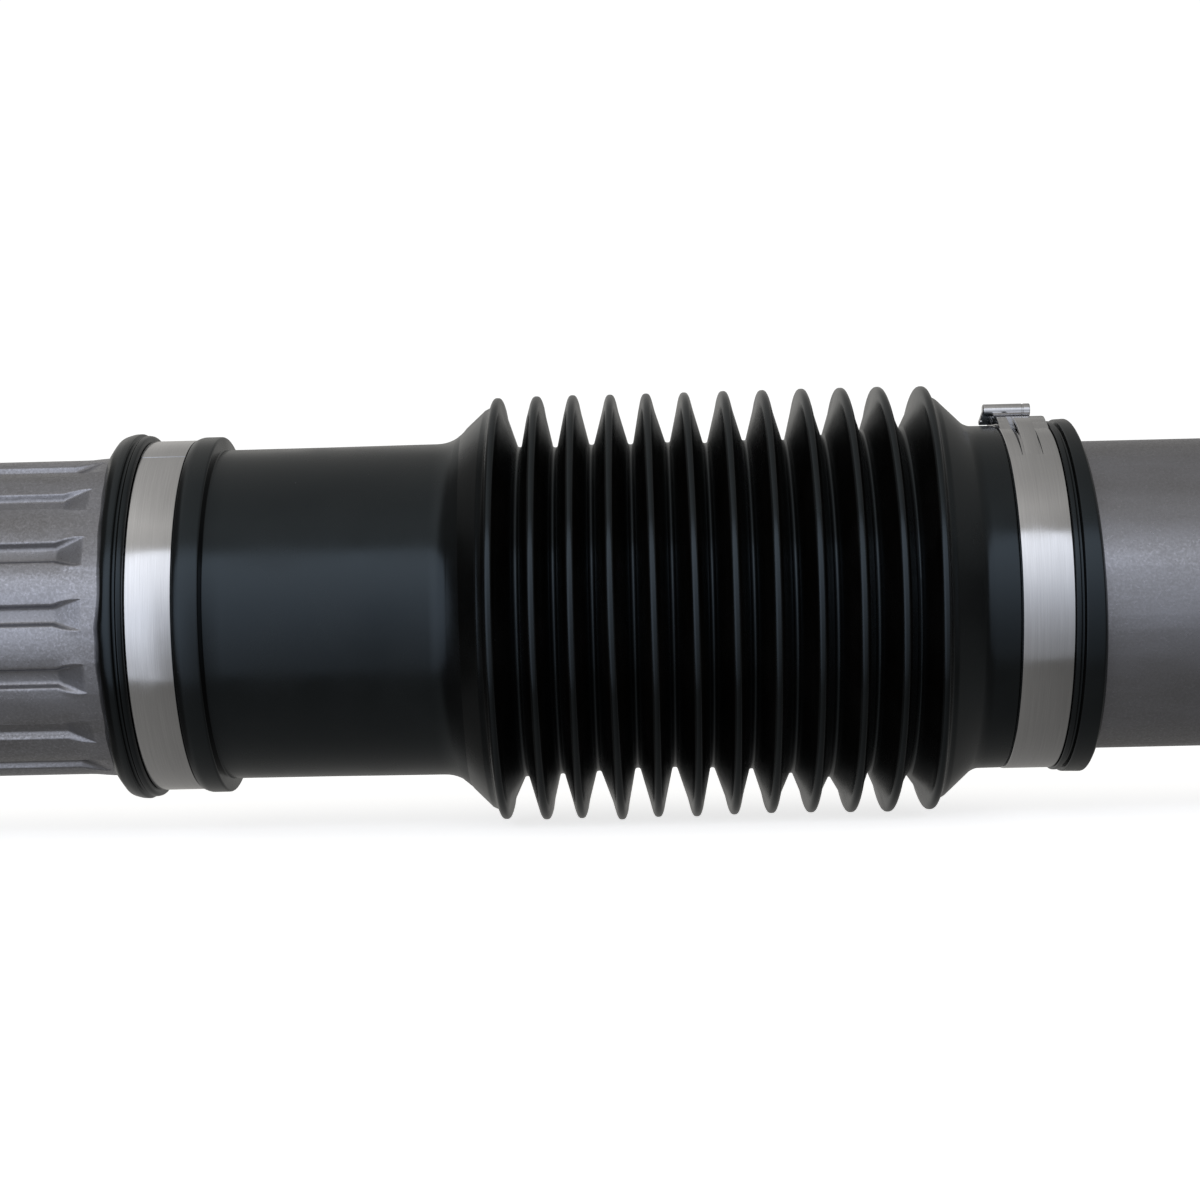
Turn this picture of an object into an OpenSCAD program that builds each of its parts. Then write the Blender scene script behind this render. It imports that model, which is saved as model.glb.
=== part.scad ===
// Tubular drive shaft with a booted slip joint and a universal joint at each end.
// The shaft lies along X, from the left flange face at the origin. Z is up. Millimetres.

/* [Shaft] */
// Distance between the two flange faces, with the slip joint at its middle setting
shaft_len = 760; // [700:1:900]
// Distance from the left flange face to the open end of the boot's left cuff
boot_start = 290; // [250:1:330]
// Travel of the slip joint when the shaft shortens
slide_in = 30; // [5:1:35]
// Clearance between pieces that only sit against each other
seat_gap = 0.02; // [0.01:0.01:0.05]

/* [Outer slip tube] */
// Outside diameter of the splined tube
outer_tube_d = 65.7; // [64.5:0.1:67]
// Wall of the splined tube
outer_wall = 2.3; // [2:0.1:2.6]
// Length of tube that reaches past the boot's open end, under the boot
outer_under_boot = 28; // [24:1:34]
// Length of the splined stretch
outer_spline_len = 136; // [110:1:140]
// Plain length between the end of the splines and the boot's open end
spline_to_boot = 0.1; // [-3:0.1:4]
// Length over which each groove runs out to the plain tube
groove_run_out = 6; // [3:0.1:9]

/* [Spline] */
// Number of splines
spline_n = 16; // [12:1:18]
// Radius of the crown of one spline
lobe_r = 14; // [12:0.5:18]
// Depth of a groove below the crowns
groove_depth = 1.85; // [1.4:0.05:2.1]
// Width of the floor of a groove
groove_floor_w = 2.9; // [2:0.1:3.4]
// Lean of each groove wall from the radial direction
groove_lean = 25; // [15:1:32]
// Depth of the crowns below the plain tube
crown_drop = 0.08; // [0.05:0.01:0.2]
// Turn of the spline pattern around the shaft
spline_turn = 1; // [0:0.5:11]
// Clearance between the two sets of splines
spline_gap = 0.06; // [0.03:0.01:0.1]

/* [Inner slip tube] */
// Outside diameter of the plain tube
inner_tube_d = 63.5; // [62.5:0.1:64.5]
// Wall of the inner tube
inner_wall = 2.1; // [1.8:0.1:2.6]
// Length of the splined nose, from its open end to the start of the run-out
nose_len = 245; // [200:1:250]
// Distance from the open end of the outer tube to the start of the nose's run-out
nose_exposed = 92; // [60:1:100]
// Length of the cone that opens the nose out to the plain tube
nose_cone_len = 12; // [8:1:16]

/* [Boot cuffs] */
// Length of the lip at the left open end
left_lip_len = 9; // [7:0.1:11]
// Diameter of the left lip
left_lip_d = 75.8; // [74.5:0.1:78]
// Width of the left band's seat
left_seat_w = 8.9; // [8:0.1:11]
// Diameter of the left band's seat
left_seat_d = 70.9; // [69.5:0.1:72]
// Length of the rib right of the left band
rib_len = 6.4; // [4:0.1:12]
// Diameter of that rib
rib_d = 73.7; // [73:0.1:76]
// Length of the lip at the right open end
right_lip_len = 8.5; // [7:0.1:11]
// Diameter of the right lip
right_lip_d = 73.4; // [72.5:0.1:76]
// Width of the right band's seat
right_seat_w = 10.2; // [9:0.1:12]
// Diameter of the right band's seat
right_seat_d = 69.5; // [68.5:0.1:71]
// Length of the neck left of the right band
neck_len = 5.5; // [3:0.1:8]
// Diameter of the neck
neck_d = 70.7; // [70:0.1:72]

/* [Boot body] */
// Length of the smooth sleeve
sleeve_len = 44.1; // [30:0.1:50]
// Diameter of the sleeve at its left end
sleeve_d = 68.2; // [68:0.1:70]
// Growth of the sleeve's diameter along its length
sleeve_growth = 0.7; // [0:0.1:2]
// Number of folds
fold_n = 12; // [8:1:13]
// Distance from one fold to the next
fold_pitch = 7.92; // [7.4:0.01:8.6]
// Diameter over the folds
fold_d = 87.7; // [82:0.1:88]
// Diameter between the folds
root_d = 67.2; // [66.8:0.1:69]
// Radius of the crest of a fold
crest_r = 1.4; // [1.3:0.05:1.7]
// Width of the flat between two folds
root_flat = 0.7; // [0.4:0.1:1.2]
// Wall of the boot
boot_wall = 1.2; // [1:0.05:1.3]
// Length of the flare from the sleeve to the first crest
left_flare_len = 10.9; // [9:0.1:14]
// Length of the flare from the last crest to the neck
right_flare_len = 10.2; // [8:0.1:14]

/* [Clamp bands] */
// Thickness of the band steel
band_t = 0.7; // [0.4:0.05:0.9]
// Width of the left band
left_band_w = 8.7; // [7:0.1:8.8]
// Width of the right band
right_band_w = 10; // [8:0.1:10.1]
// Height of the folded layers on top of the right band
fold_over_h = 1.65; // [1:0.05:2]
// Width of the raised tongue of the right band
tongue_w = 4.2; // [3:0.1:6]
// Width of each cut beside the tongue
cut_w = 0.8; // [0.4:0.1:1.2]
// Diameter of the rolled bar
bar_d = 2.7; // [2:0.1:3.5]
// Length of the rolled bar
bar_len = 9.7; // [8:0.1:12]
// Overhang of the bar past the band's left edge
bar_overhang = 2.6; // [2:0.1:4]

/* [Universal joint] */
// Distance from a flange face to the centre of its joint
joint_reach = 44.5; // [43:0.5:50]
// Distance from the shaft's axis to the outer face of an ear
ear_reach = 44.5; // [43.6:0.1:46]
// Outer radius of an ear around its bore
ear_r = 18; // [17:0.1:18.5]
// Half of the opening between two ears
ear_inner = 27.5; // [26.5:0.1:29]
// Diameter of a bearing cup
cup_d = 27; // [26.5:0.1:27.5]
// Distance across two opposite cups
cup_span = 81.8; // [81:0.1:82]
// Length of a bearing cup
cup_len = 17.4; // [16:0.1:18]
// Thickness of a cup's closed end
cup_end = 2.3; // [1.8:0.1:3]
// Diameter of a trunnion
trunnion_d = 16.6; // [15.5:0.1:16.8]
// Diameter of a needle roller
needle_d = 2.4; // [2.2:0.05:2.4]
// Number of needle rollers around a trunnion
needle_n = 24; // [16:1:24]
// Length of a needle roller
needle_len = 11.5; // [9:0.1:12]
// Running clearance at each side of a needle roller
needle_gap = 0.05; // [0.03:0.01:0.08]
// Thickness of a thrust washer
washer_t = 1.2; // [0.8:0.1:1.6]
// Thickness of a snap ring
snap_t = 1.5; // [1:0.1:1.8]
// Diameter of the eye at each end of a snap ring
snap_eye_d = 4; // [3:0.1:4.6]
// Diameter of the hole in that eye, for the pliers
snap_hole_d = 1.5; // [1:0.1:2]
// Diameter of the cross's shoulders
shoulder_d = 22; // [20:0.1:23]
// Diameter of the cross's four arms
cross_arm_d = 25; // [24:0.1:26.5]

/* [Flange] */
// Width across the square of a flange
flange_w = 89; // [86:0.5:92]
// Thickness of a flange
flange_t = 9.5; // [8:0.1:10.5]
// Corner radius of a flange
flange_corner_r = 14; // [10:0.5:18]
// Diameter of the bolt circle
bolt_circle_d = 79.38; // [76:0.01:82]
// Diameter of a bolt hole
bolt_hole_d = 9.9; // [8:0.1:11]
// Diameter of the raised pilot
pilot_d = 60.33; // [56:0.01:62]
// Height of the raised pilot
pilot_h = 2.4; // [1.5:0.1:4]
// Diameter of the recess inside the pilot
recess_d = 46; // [38:0.5:50]

/* [Weld yokes] */
// Distance from a joint's centre to the end of its tube
tube_set_back = 40; // [39:0.5:46]
// Length of a yoke's spigot inside the tube
spigot_len = 13; // [8:0.5:18]
// Width of a weld bead
bead_w = 6; // [4:0.1:8]
// Height of a weld bead above the tube
bead_h = 1.3; // [0.8:0.1:2]

/* [Hidden] */
$fn = 96;
tiny = 0.01;

// Places along the shaft
left_centre = joint_reach;
right_centre = shaft_len - joint_reach;
outer_start = left_centre + tube_set_back;
outer_end = boot_start + outer_under_boot;
spline_end = boot_start - spline_to_boot;
spline_start = spline_end - outer_spline_len;
nose_run_out = outer_end + nose_exposed;
inner_start = nose_run_out - nose_len;
cone_start = nose_run_out + groove_run_out;
cone_end = cone_start + nose_cone_len;
inner_end = right_centre - tube_set_back;

// Cup plugs. The grease plug stands in the free space between the left yoke's spigot
// and the nose when it is pushed right in, this share of the way along.
plug_wall = 1.5;
plug_rim = 8;
plug_share = 0.8;
nose_plug_inset = 2;
spigot_end_x = outer_start + spigot_len;
grease_plug_x = spigot_end_x + plug_share * (inner_start - slide_in - plug_rim - spigot_end_x);

// Places along the boot
left_seat_x = boot_start + left_lip_len;
rib_x = left_seat_x + left_seat_w;
sleeve_x = rib_x + rib_len;
flare_x = sleeve_x + sleeve_len;
first_crest_x = flare_x + left_flare_len;
last_crest_x = first_crest_x + (fold_n - 1) * fold_pitch;
neck_x = last_crest_x + right_flare_len;
right_seat_x = neck_x + neck_len;
right_lip_x = right_seat_x + right_seat_w;
boot_end = right_lip_x + right_lip_len;

// Radii of the tubes and the splines
outer_r = outer_tube_d / 2;
outer_bore_r = outer_r - outer_wall;
inner_r = inner_tube_d / 2;
inner_bore_r = inner_r - inner_wall;
lobe_offset = outer_r - lobe_r;
floor_r = outer_r - groove_depth;
nose_inset = outer_wall + spline_gap;
nose_r = outer_r - nose_inset;
nose_bore_r = floor_r - nose_inset - inner_wall;
spline_pitch_deg = 360 / spline_n;
ridge_cone_len = 2 * groove_depth;
run_out_widen = 1.4;
nose_widen = 0.6;

// Radii and fold form of the boot
left_cuff_r = outer_r + seat_gap;
right_cuff_r = inner_r + seat_gap;
sleeve_r = sleeve_d / 2;
sleeve_end_r = sleeve_r + sleeve_growth / 2;
sleeve_bore_r = sleeve_r - boot_wall;
fold_r = fold_d / 2;
root_r = root_d / 2;
crest_c = fold_r - crest_r;
crest_sweep = 76;
flank_top_w = crest_r * sin(crest_sweep);
flank_top_r = crest_c + crest_r * cos(crest_sweep);
flank_foot_w = (fold_pitch - root_flat) / 2;
flank_deg = atan((flank_foot_w - flank_top_w) / (flank_top_r - root_r));
inner_foot_w = flank_foot_w - boot_wall * (1 - sin(flank_deg)) / cos(flank_deg);
inner_crest_r = crest_r - boot_wall;
inner_root_r = root_r - boot_wall;
flare_sweep = 45;

// Right band
right_band_x = right_seat_x + (right_seat_w - right_band_w) / 2;
right_band_r = right_seat_d / 2 + seat_gap + band_t;
fold_over_r = right_band_r + fold_over_h;
tongue_deg = 38;
tongue_x = right_band_w * 0.44;
layers_back = 24;
layers_front = 13;
cut_end_deg = 1.5;
layers_inset = 0.4;

// Universal joint
cup_r = cup_d / 2;
cup_top = cup_span / 2;
cup_mouth = cup_top - cup_len;
cup_floor = cup_top - cup_end;
trunnion_r = trunnion_d / 2;
needle_r = needle_d / 2;
needle_ring_r = trunnion_r + needle_gap + needle_r;
cup_bore_r = needle_ring_r + needle_r + needle_gap;
trunnion_top = cup_floor - washer_t - 2 * needle_gap;
needle_start = trunnion_top - 0.5 - needle_len;
seal_start = cup_mouth - 5.6;
seal_end = cup_mouth - 0.3;
shoulder_top = cup_mouth - 2.2;
arm_top = seal_start - seat_gap;
snap_groove_r = cup_r + 1.2;
snap_outer_r = snap_groove_r - 0.1;
snap_inner_r = cup_r - 2.2;
snap_gap_deg = 50;
snap_eye_deg = 7;
cup_chamfer = 0.6;
cup_dish_r = 7.6;
cup_dish_depth = 0.35;
seal_groove_w = 0.8;
seal_groove_depth = 0.6;
hub_r = cross_arm_d * 0.74;
grease_hole_d = 5;
fitting_r = 3.1;
fitting_hex_h = 3.2;
fitting_neck_h = 2.6;
fitting_foot = cross_arm_d * sqrt(0.5) + 3.9;

// Yokes and flanges
past = 2 * cup_span;
arm_half_w = ear_r - 0.5;
arm_edge_r = ear_reach + 2.2;
swing_reach = joint_reach - flange_t;
crotch_r = 14;
crotch_x = 34;
waist_r = 17;
flange_waist_r = 10;
spigot_recess = 9;
spigot_wall = 6;
recess_depth = 3;
spot_face_d = bolt_hole_d + 8;
spot_face_h = 0.4;

steel = "silver";
tube_grey = "darkgray";
forging_grey = "dimgray";
rubber_black = [0.12, 0.12, 0.13];

// Turns a shape made around Z so that it lies along X
module along_x(x0 = 0) { translate([x0, 0, 0]) rotate([0, 90, 0]) children(); }

// Puts a joint's pieces, drawn with their flange towards -X, at each end of the shaft
module at_left() { translate([left_centre, 0, 0]) children(); }
module at_right() { translate([right_centre, 0, 0]) mirror([1, 0, 0]) children(); }

// Repeats a trunnion's pieces, drawn along +Z, for a yoke's two ears
module on_shaft_ears() { for (up = [0, 1]) mirror([0, 0, up]) children(); }
module on_flange_ears() { for (side = [0, 1]) mirror([0, side, 0]) rotate([-90, 0, 0]) children(); }

module ring(r_out, r_in, h) {
    difference() {
        cylinder(r = r_out, h = h);
        translate([0, 0, -1]) cylinder(r = r_in, h = h + 2);
    }
}

// Half of a groove's width at radius r, for a surface set inward by inset
function groove_half_w(r, inset) =
    groove_floor_w / 2 + (r - floor_r) * tan(groove_lean) + inset / cos(groove_lean);

// Section of a formed spline, set inward from the outer tube's surface by inset
module spline_section(inset) {
    floor_here = floor_r - inset;
    rim = outer_r + 1;
    rotate(-spline_turn) difference() {
        union() {
            circle(r = lobe_offset);
            for (i = [0:spline_n - 1]) rotate((i + 0.5) * spline_pitch_deg)
                translate([lobe_offset, 0]) circle(r = lobe_r - crown_drop - inset);
        }
        for (i = [0:spline_n - 1]) rotate(i * spline_pitch_deg) polygon([
            [floor_here, -groove_half_w(floor_here, inset)],
            [rim, -groove_half_w(rim, inset)],
            [rim, groove_half_w(rim, inset)],
            [floor_here, groove_half_w(floor_here, inset)]
        ]);
    }
}

// Wedge that ends a groove: full depth at its start, risen to the surface at its end
module run_out_wedge(inset, widen) {
    deep = floor_r - inset;
    high = outer_r - inset + 0.05;
    rim = outer_r - inset + 1;
    w0 = groove_half_w(deep, inset);
    w1 = groove_half_w(rim, inset);
    w2 = groove_half_w(high, inset) * 0.7 + widen;
    w3 = w2 + widen;
    polyhedron(
        points = [
            [0, deep, -w0], [0, deep, w0], [0, rim, w1], [0, rim, -w1],
            [groove_run_out, high, -w2], [groove_run_out, high, w2],
            [groove_run_out, rim, w3], [groove_run_out, rim, -w3]
        ],
        faces = [
            [0, 1, 2], [0, 2, 3], [4, 6, 5], [4, 7, 6],
            [0, 5, 1], [0, 4, 5], [1, 5, 6], [1, 6, 2],
            [2, 6, 7], [2, 7, 3], [3, 7, 4], [3, 4, 0]
        ]);
}

// Run-outs of all grooves, from x0 on towards +X
module run_outs(x0, inset, widen) {
    translate([x0, 0, 0]) for (i = [0:spline_n - 1])
        rotate([i * spline_pitch_deg - spline_turn - 90, 0, 0]) run_out_wedge(inset, widen);
}

// Outer tube: plain, then splined through its wall, then plain again under the boot
module outer_slip_tube() {
    full_end = spline_end - groove_run_out;
    color(tube_grey) difference() {
        union() {
            along_x(outer_start) cylinder(r = outer_r, h = spline_start - outer_start);
            along_x(spline_start) linear_extrude(full_end - spline_start) spline_section(0);
            along_x(full_end) cylinder(r = outer_r, h = outer_end - full_end);
        }
        run_outs(full_end, 0, run_out_widen);
        along_x(outer_start - 1) cylinder(r = outer_bore_r, h = spline_start + 1 - outer_start);
        along_x(spline_start - 1) linear_extrude(spline_end - spline_start + 2) spline_section(outer_wall);
        along_x(spline_end) cylinder(r = outer_bore_r, h = outer_end + 1 - spline_end);
        along_x(spline_end - ridge_cone_len)
            cylinder(r1 = floor_r - outer_wall, r2 = outer_bore_r, h = ridge_cone_len);
        along_x(outer_end - 1) cylinder(r1 = outer_bore_r, r2 = outer_bore_r + 1, h = 1 + tiny);
    }
}

// Inner tube: swaged and splined nose, cone, then plain tube up to the right weld yoke
module inner_slip_tube() {
    color(tube_grey) difference() {
        union() {
            along_x(inner_start) linear_extrude(nose_len) spline_section(nose_inset);
            along_x(nose_run_out) cylinder(r = nose_r, h = groove_run_out);
            along_x(cone_start) cylinder(r1 = nose_r, r2 = inner_r, h = nose_cone_len);
            along_x(cone_end) cylinder(r = inner_r, h = inner_end - cone_end);
        }
        run_outs(nose_run_out, nose_inset, nose_widen);
        along_x(inner_start - 1) cylinder(r = nose_bore_r, h = cone_start + 1 - inner_start);
        along_x(cone_start) cylinder(r1 = nose_bore_r, r2 = inner_bore_r, h = nose_cone_len);
        along_x(cone_end) cylinder(r = inner_bore_r, h = inner_end + 1 - cone_end);
    }
}

// Pressed cup plug, open towards +Z
module cup_plug(r) {
    difference() {
        cylinder(r = r - seat_gap, h = plug_rim);
        translate([0, 0, plug_wall]) cylinder(r = r - seat_gap - plug_wall, h = plug_rim);
    }
}

module grease_plug() {
    color(steel) along_x(grease_plug_x) cup_plug(outer_bore_r);
}

module nose_plug() {
    color(steel) along_x(inner_start + nose_plug_inset) cup_plug(nose_bore_r);
}

// Outline points of the boot are [radius, place along the shaft]
function crest_points(x, r, from, to) = let (steps = 8) [
    for (i = [0:steps]) let (a = from + (to - from) * i / steps) [crest_c + r * cos(a), x + r * sin(a)]
];

// Crest with its two flanks: both feet, except outside the first and the last crest
function fold_points(i, r, foot_w, foot_r) = let (x = first_crest_x + i * fold_pitch) concat(
    i == 0 ? [] : [[foot_r, x - foot_w]],
    crest_points(x, r, i == 0 ? -flare_sweep : -crest_sweep, i == fold_n - 1 ? flare_sweep : crest_sweep),
    i == fold_n - 1 ? [] : [[foot_r, x + foot_w]]
);

function all_folds(r, foot_w, foot_r) = [
    for (i = [0:fold_n - 1]) for (p = fold_points(i, r, foot_w, foot_r)) p
];

// Left cuff: tapered lip with two fine grooves, band seat, chamfered rib
left_cuff_points = let (r = left_lip_d / 2, x = boot_start, e = left_seat_x, s = left_seat_d / 2) [
    [left_cuff_r, x], [r - 2.4, x + 1], [r - 0.8, x + 2.2], [r - 0.2, x + 3.8],
    [r - 0.1, x + 4.9], [r - 0.5, x + 5.3], [r, x + 5.7], [r, x + 6.7],
    [r - 0.6, x + 7.1], [r - 0.3, x + 7.5], [r - 0.6, e - 0.5], [s, e],
    [s, rib_x], [rib_d / 2 - 0.4, rib_x + 0.2], [rib_d / 2, rib_x + 1.2],
    [rib_d / 2, sleeve_x - 1.1], [sleeve_r + 0.5, sleeve_x - 0.3], [sleeve_r, sleeve_x]
];

sleeve_points = [[sleeve_end_r, flare_x], [sleeve_end_r + 0.9, flare_x + 3]];

// Right cuff: neck, band seat, rounded lip
right_cuff_points = let (r = right_lip_d / 2, n = neck_d / 2, s = right_seat_d / 2, x = right_lip_x,
    e = boot_end) [
    [n + 1.2, neck_x - 2], [n, neck_x], [n, right_seat_x - 0.3], [s, right_seat_x],
    [s, x], [r - 0.5, x + 0.2], [r, x + 1], [r, x + 4.6], [r - 0.5, x + 5.6],
    [r - 1.6, x + 7], [right_cuff_r + 0.6, e - 0.2], [right_cuff_r, e]
];

boot_bore_points = concat(
    [[left_cuff_r, outer_end], [left_cuff_r, outer_end + 2], [sleeve_bore_r, outer_end + 4],
     [sleeve_end_r - boot_wall, flare_x + 0.4]],
    all_folds(inner_crest_r, inner_foot_w, inner_root_r),
    [[inner_root_r, neck_x - 2.4], [right_cuff_r, neck_x + 0.4], [right_cuff_r, boot_end]]
);

module boot() {
    outside = concat(left_cuff_points, sleeve_points, all_folds(crest_r, flank_foot_w, root_r),
        right_cuff_points);
    n = len(boot_bore_points);
    inside = [for (i = [1:n - 1]) boot_bore_points[n - 1 - i]];
    color(rubber_black) along_x() rotate_extrude() polygon(concat(outside, inside));
}

// Left band: one turn of strip, with its lap from the front over the top to the back
module left_clamp_band() {
    x0 = left_seat_x + (left_seat_w - left_band_w) / 2;
    r = left_seat_d / 2 + seat_gap;
    lap_t = 0.2;
    lap_deg = 70;
    color(steel) along_x(x0) union() {
        ring(r + band_t, r, left_band_w);
        rotate(180 - lap_deg * 0.6) rotate_extrude(angle = lap_deg)
            translate([r + band_t / 2, 0]) square([band_t / 2 + lap_t, left_band_w]);
    }
}

// Right band: ring, folded layers on top, and a tongue that climbs onto them between two cuts
module right_clamp_band() {
    far = 2 * right_band_r;
    rise = fold_over_h / (cos(layers_front) - cos(tongue_deg));
    color(steel) along_x(right_band_x) difference() {
        union() {
            ring(right_band_r, right_band_r - band_t, right_band_w);
            rotate(180 - layers_back) rotate_extrude(angle = layers_back + layers_front)
                translate([right_band_r - band_t / 2, 0])
                    square([fold_over_h + band_t / 2, right_band_w - layers_inset]);
            translate([0, 0, tongue_x - tongue_w / 2]) linear_extrude(tongue_w) intersection() {
                difference() {
                    translate([-rise, 0]) circle(r = right_band_r - rise * cos(tongue_deg));
                    circle(r = right_band_r - band_t / 2);
                }
                rotate(180) polygon([
                    [0, 0],
                    [far * cos(tongue_deg), far * sin(tongue_deg)],
                    [far * cos(layers_front - 1), far * sin(layers_front - 1)]
                ]);
            }
        }
        for (side = [-1, 1])
            translate([0, 0, tongue_x + side * (tongue_w + cut_w) / 2 - cut_w / 2])
                rotate(180 + layers_front + cut_end_deg)
                    rotate_extrude(angle = tongue_deg - layers_front - cut_end_deg)
                        translate([right_band_r - band_t * 0.8, 0]) square([band_t * 2, cut_w]);
    }
}

// Rolled bar that lies on the folded layers, with a foot that hooks the band's left edge
module right_clamp_bar() {
    bar_x = right_band_x - bar_overhang;
    bar_c = fold_over_r + seat_gap + bar_d / 2;
    bar_wall = 0.5;
    open_len = 1.2;
    foot_t = bar_overhang - 0.4;
    foot_w = bar_d - 0.4;
    foot_r = right_seat_d / 2 + 0.9;
    color(steel) union() {
        translate([0, 0, bar_c]) along_x(bar_x) difference() {
            cylinder(r = bar_d / 2, h = bar_len);
            translate([0, 0, bar_len - open_len]) cylinder(r = bar_d / 2 - bar_wall, h = open_len + 1);
        }
        translate([bar_x, -foot_w / 2, foot_r]) cube([foot_t, foot_w, bar_c - foot_r]);
    }
}

// One trunnion's pieces, drawn along +Z from the joint's centre
module cup() {
    r = cup_r - seat_gap;
    translate([0, 0, cup_mouth]) difference() {
        union() {
            cylinder(r = r, h = cup_len - cup_chamfer);
            translate([0, 0, cup_len - cup_chamfer]) cylinder(r1 = r, r2 = r - cup_chamfer, h = cup_chamfer);
        }
        translate([0, 0, -1]) cylinder(r = cup_bore_r, h = cup_len - cup_end + 1);
        translate([0, 0, cup_len - cup_dish_depth]) cylinder(r = cup_dish_r, h = 1);
    }
}

module needle_set() {
    for (i = [0:needle_n - 1]) rotate((i + 0.5) * 360 / needle_n)
        translate([needle_ring_r, 0, needle_start]) cylinder(r = needle_r, h = needle_len, $fn = 24);
}

module washer() {
    translate([0, 0, cup_floor - needle_gap - washer_t]) ring(cup_bore_r - 0.1, 2.5, washer_t);
}

// Snap ring, open at one side, with an eye at each end
module snap_ring() {
    eye_c = snap_inner_r + 0.1;
    translate([0, 0, cup_top + seat_gap]) difference() {
        union() {
            rotate(snap_gap_deg / 2 + 90) rotate_extrude(angle = 360 - snap_gap_deg)
                translate([snap_inner_r, 0]) square([snap_outer_r - snap_inner_r, snap_t]);
            snap_eyes() translate([eye_c, 0, 0]) cylinder(d = snap_eye_d, h = snap_t);
        }
        snap_eyes() translate([eye_c, 0, -1]) cylinder(d = snap_hole_d, h = snap_t + 2);
    }
}

module snap_eyes() {
    for (side = [-1, 1]) rotate(90 + side * (snap_gap_deg / 2 + snap_eye_deg)) children();
}

module seal() {
    lip_r = cup_r - 0.3;
    translate([0, 0, seal_start]) difference() {
        union() {
            cylinder(r = lip_r, h = seal_end - seal_start - 1);
            cylinder(r = lip_r - 0.8, h = seal_end - seal_start);
        }
        translate([0, 0, (seal_end - seal_start) / 2])
            ring(lip_r + 1, lip_r - seal_groove_depth, seal_groove_w);
        translate([0, 0, -1]) cylinder(r = shoulder_d / 2 + seat_gap, h = seal_end - seal_start + 2);
    }
}

module cross_seals() {
    on_shaft_ears() seal();
    on_flange_ears() seal();
}

// Cross: four arms, each with a shoulder and a greased trunnion
module joint_cross() {
    color(steel) difference() {
        union() {
            intersection() {
                sphere(r = hub_r);
                cube([cross_arm_d, arm_top * 2, arm_top * 2], center = true);
            }
            for (turn = [0, 90]) rotate([turn, 0, 0]) {
                cylinder(d = cross_arm_d, h = arm_top * 2, center = true);
                cylinder(d = shoulder_d, h = shoulder_top * 2, center = true);
                cylinder(d = trunnion_d, h = trunnion_top * 2, center = true);
            }
            rotate([-45, 0, 0]) cylinder(r = fitting_r + 1, h = fitting_foot);
        }
        for (turn = [0, 90]) rotate([turn, 0, 0]) cylinder(d = grease_hole_d, h = past, center = true);
    }
}

// Grease fitting between two arms of the cross: hexagon, waisted neck and a head with its ball hole
module grease_fitting() {
    neck = fitting_hex_h - tiny;
    head = fitting_hex_h + fitting_neck_h;
    color("goldenrod") rotate([-45, 0, 0]) translate([0, 0, fitting_foot + seat_gap]) union() {
        cylinder(r = fitting_r, h = fitting_hex_h, $fn = 6);
        rotate_extrude() polygon([
            [0, neck], [fitting_r * 0.8, neck], [fitting_r * 0.55, neck + 0.7],
            [fitting_r * 0.45, head - 0.5], [fitting_r * 0.75, head + 0.4], [fitting_r * 0.75, head + 1.2],
            [fitting_r * 0.35, head + 2.4], [fitting_r * 0.2, head + 2.4], [fitting_r * 0.2, head + 1.8],
            [0, head + 1.8]
        ]);
    }
}

// Outline of the opening between two ears, as [along the shaft, across], with a round crotch
module crotch_outline(depth, round_r) {
    translate([-past, -ear_inner]) square([past + depth - round_r, 2 * ear_inner]);
    translate([-past, round_r - ear_inner]) square([past + depth, 2 * (ear_inner - round_r)]);
    for (side = [-1, 1]) translate([depth - round_r, side * (ear_inner - round_r)]) circle(r = round_r);
}

module ear_bores() {
    for (up = [0, 1]) mirror([0, 0, up]) {
        translate([0, 0, ear_inner / 2]) cylinder(r = cup_r, h = past);
        translate([0, 0, cup_top]) cylinder(r = snap_groove_r, h = snap_t + 2 * seat_gap);
    }
}

// Weld yoke with its ears on Z and its spigot towards +X
module weld_yoke(tube_r, bore_r) {
    neck = tube_set_back - 2.5;
    spigot_r = bore_r - seat_gap;
    spigot_end = tube_set_back + spigot_len;
    waist_x = ear_r - 2;
    color(forging_grey) difference() {
        intersection() {
            along_x() rotate_extrude() polygon([
                [0, -ear_r], [arm_edge_r, -ear_r], [arm_edge_r, ear_r * 0.7],
                [ear_reach - 1.2, ear_r], [tube_r + 3.5, neck - 8], [tube_r + 0.8, neck - 4.5],
                [tube_r, neck - 2], [tube_r, neck], [spigot_r, tube_set_back - seat_gap],
                [spigot_r, spigot_end - 1], [spigot_r - 1, spigot_end], [0, spigot_end]
            ]);
            translate([0, 0, -ear_reach]) linear_extrude(2 * ear_reach) union() {
                circle(r = ear_r);
                translate([0, -arm_half_w]) square([neck, 2 * arm_half_w]);
                difference() {
                    translate([waist_x, -ear_reach]) square([spigot_end, 2 * ear_reach]);
                    for (side = [-1, 1])
                        translate([waist_x, side * (arm_half_w + waist_r)]) circle(r = waist_r);
                }
            }
        }
        rotate([90, 0, 0]) translate([0, 0, -past / 2]) linear_extrude(past)
            crotch_outline(crotch_x, crotch_r);
        ear_bores();
        along_x(spigot_end - spigot_recess) cylinder(r = bore_r - spigot_wall, h = spigot_recess + 1);
    }
}

// Bead that fills the groove between a weld yoke and its tube
module weld_bead(tube_r) {
    bead_r = (bead_w * bead_w / 4 + bead_h * bead_h) / (2 * bead_h);
    color("gray") along_x() rotate_extrude() intersection() {
        translate([tube_r + bead_h - bead_r, tube_set_back - 1]) circle(r = bead_r);
        translate([tube_r + seat_gap, tube_set_back - 1 - bead_w]) square([bead_w, 2 * bead_w]);
    }
}

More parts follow.
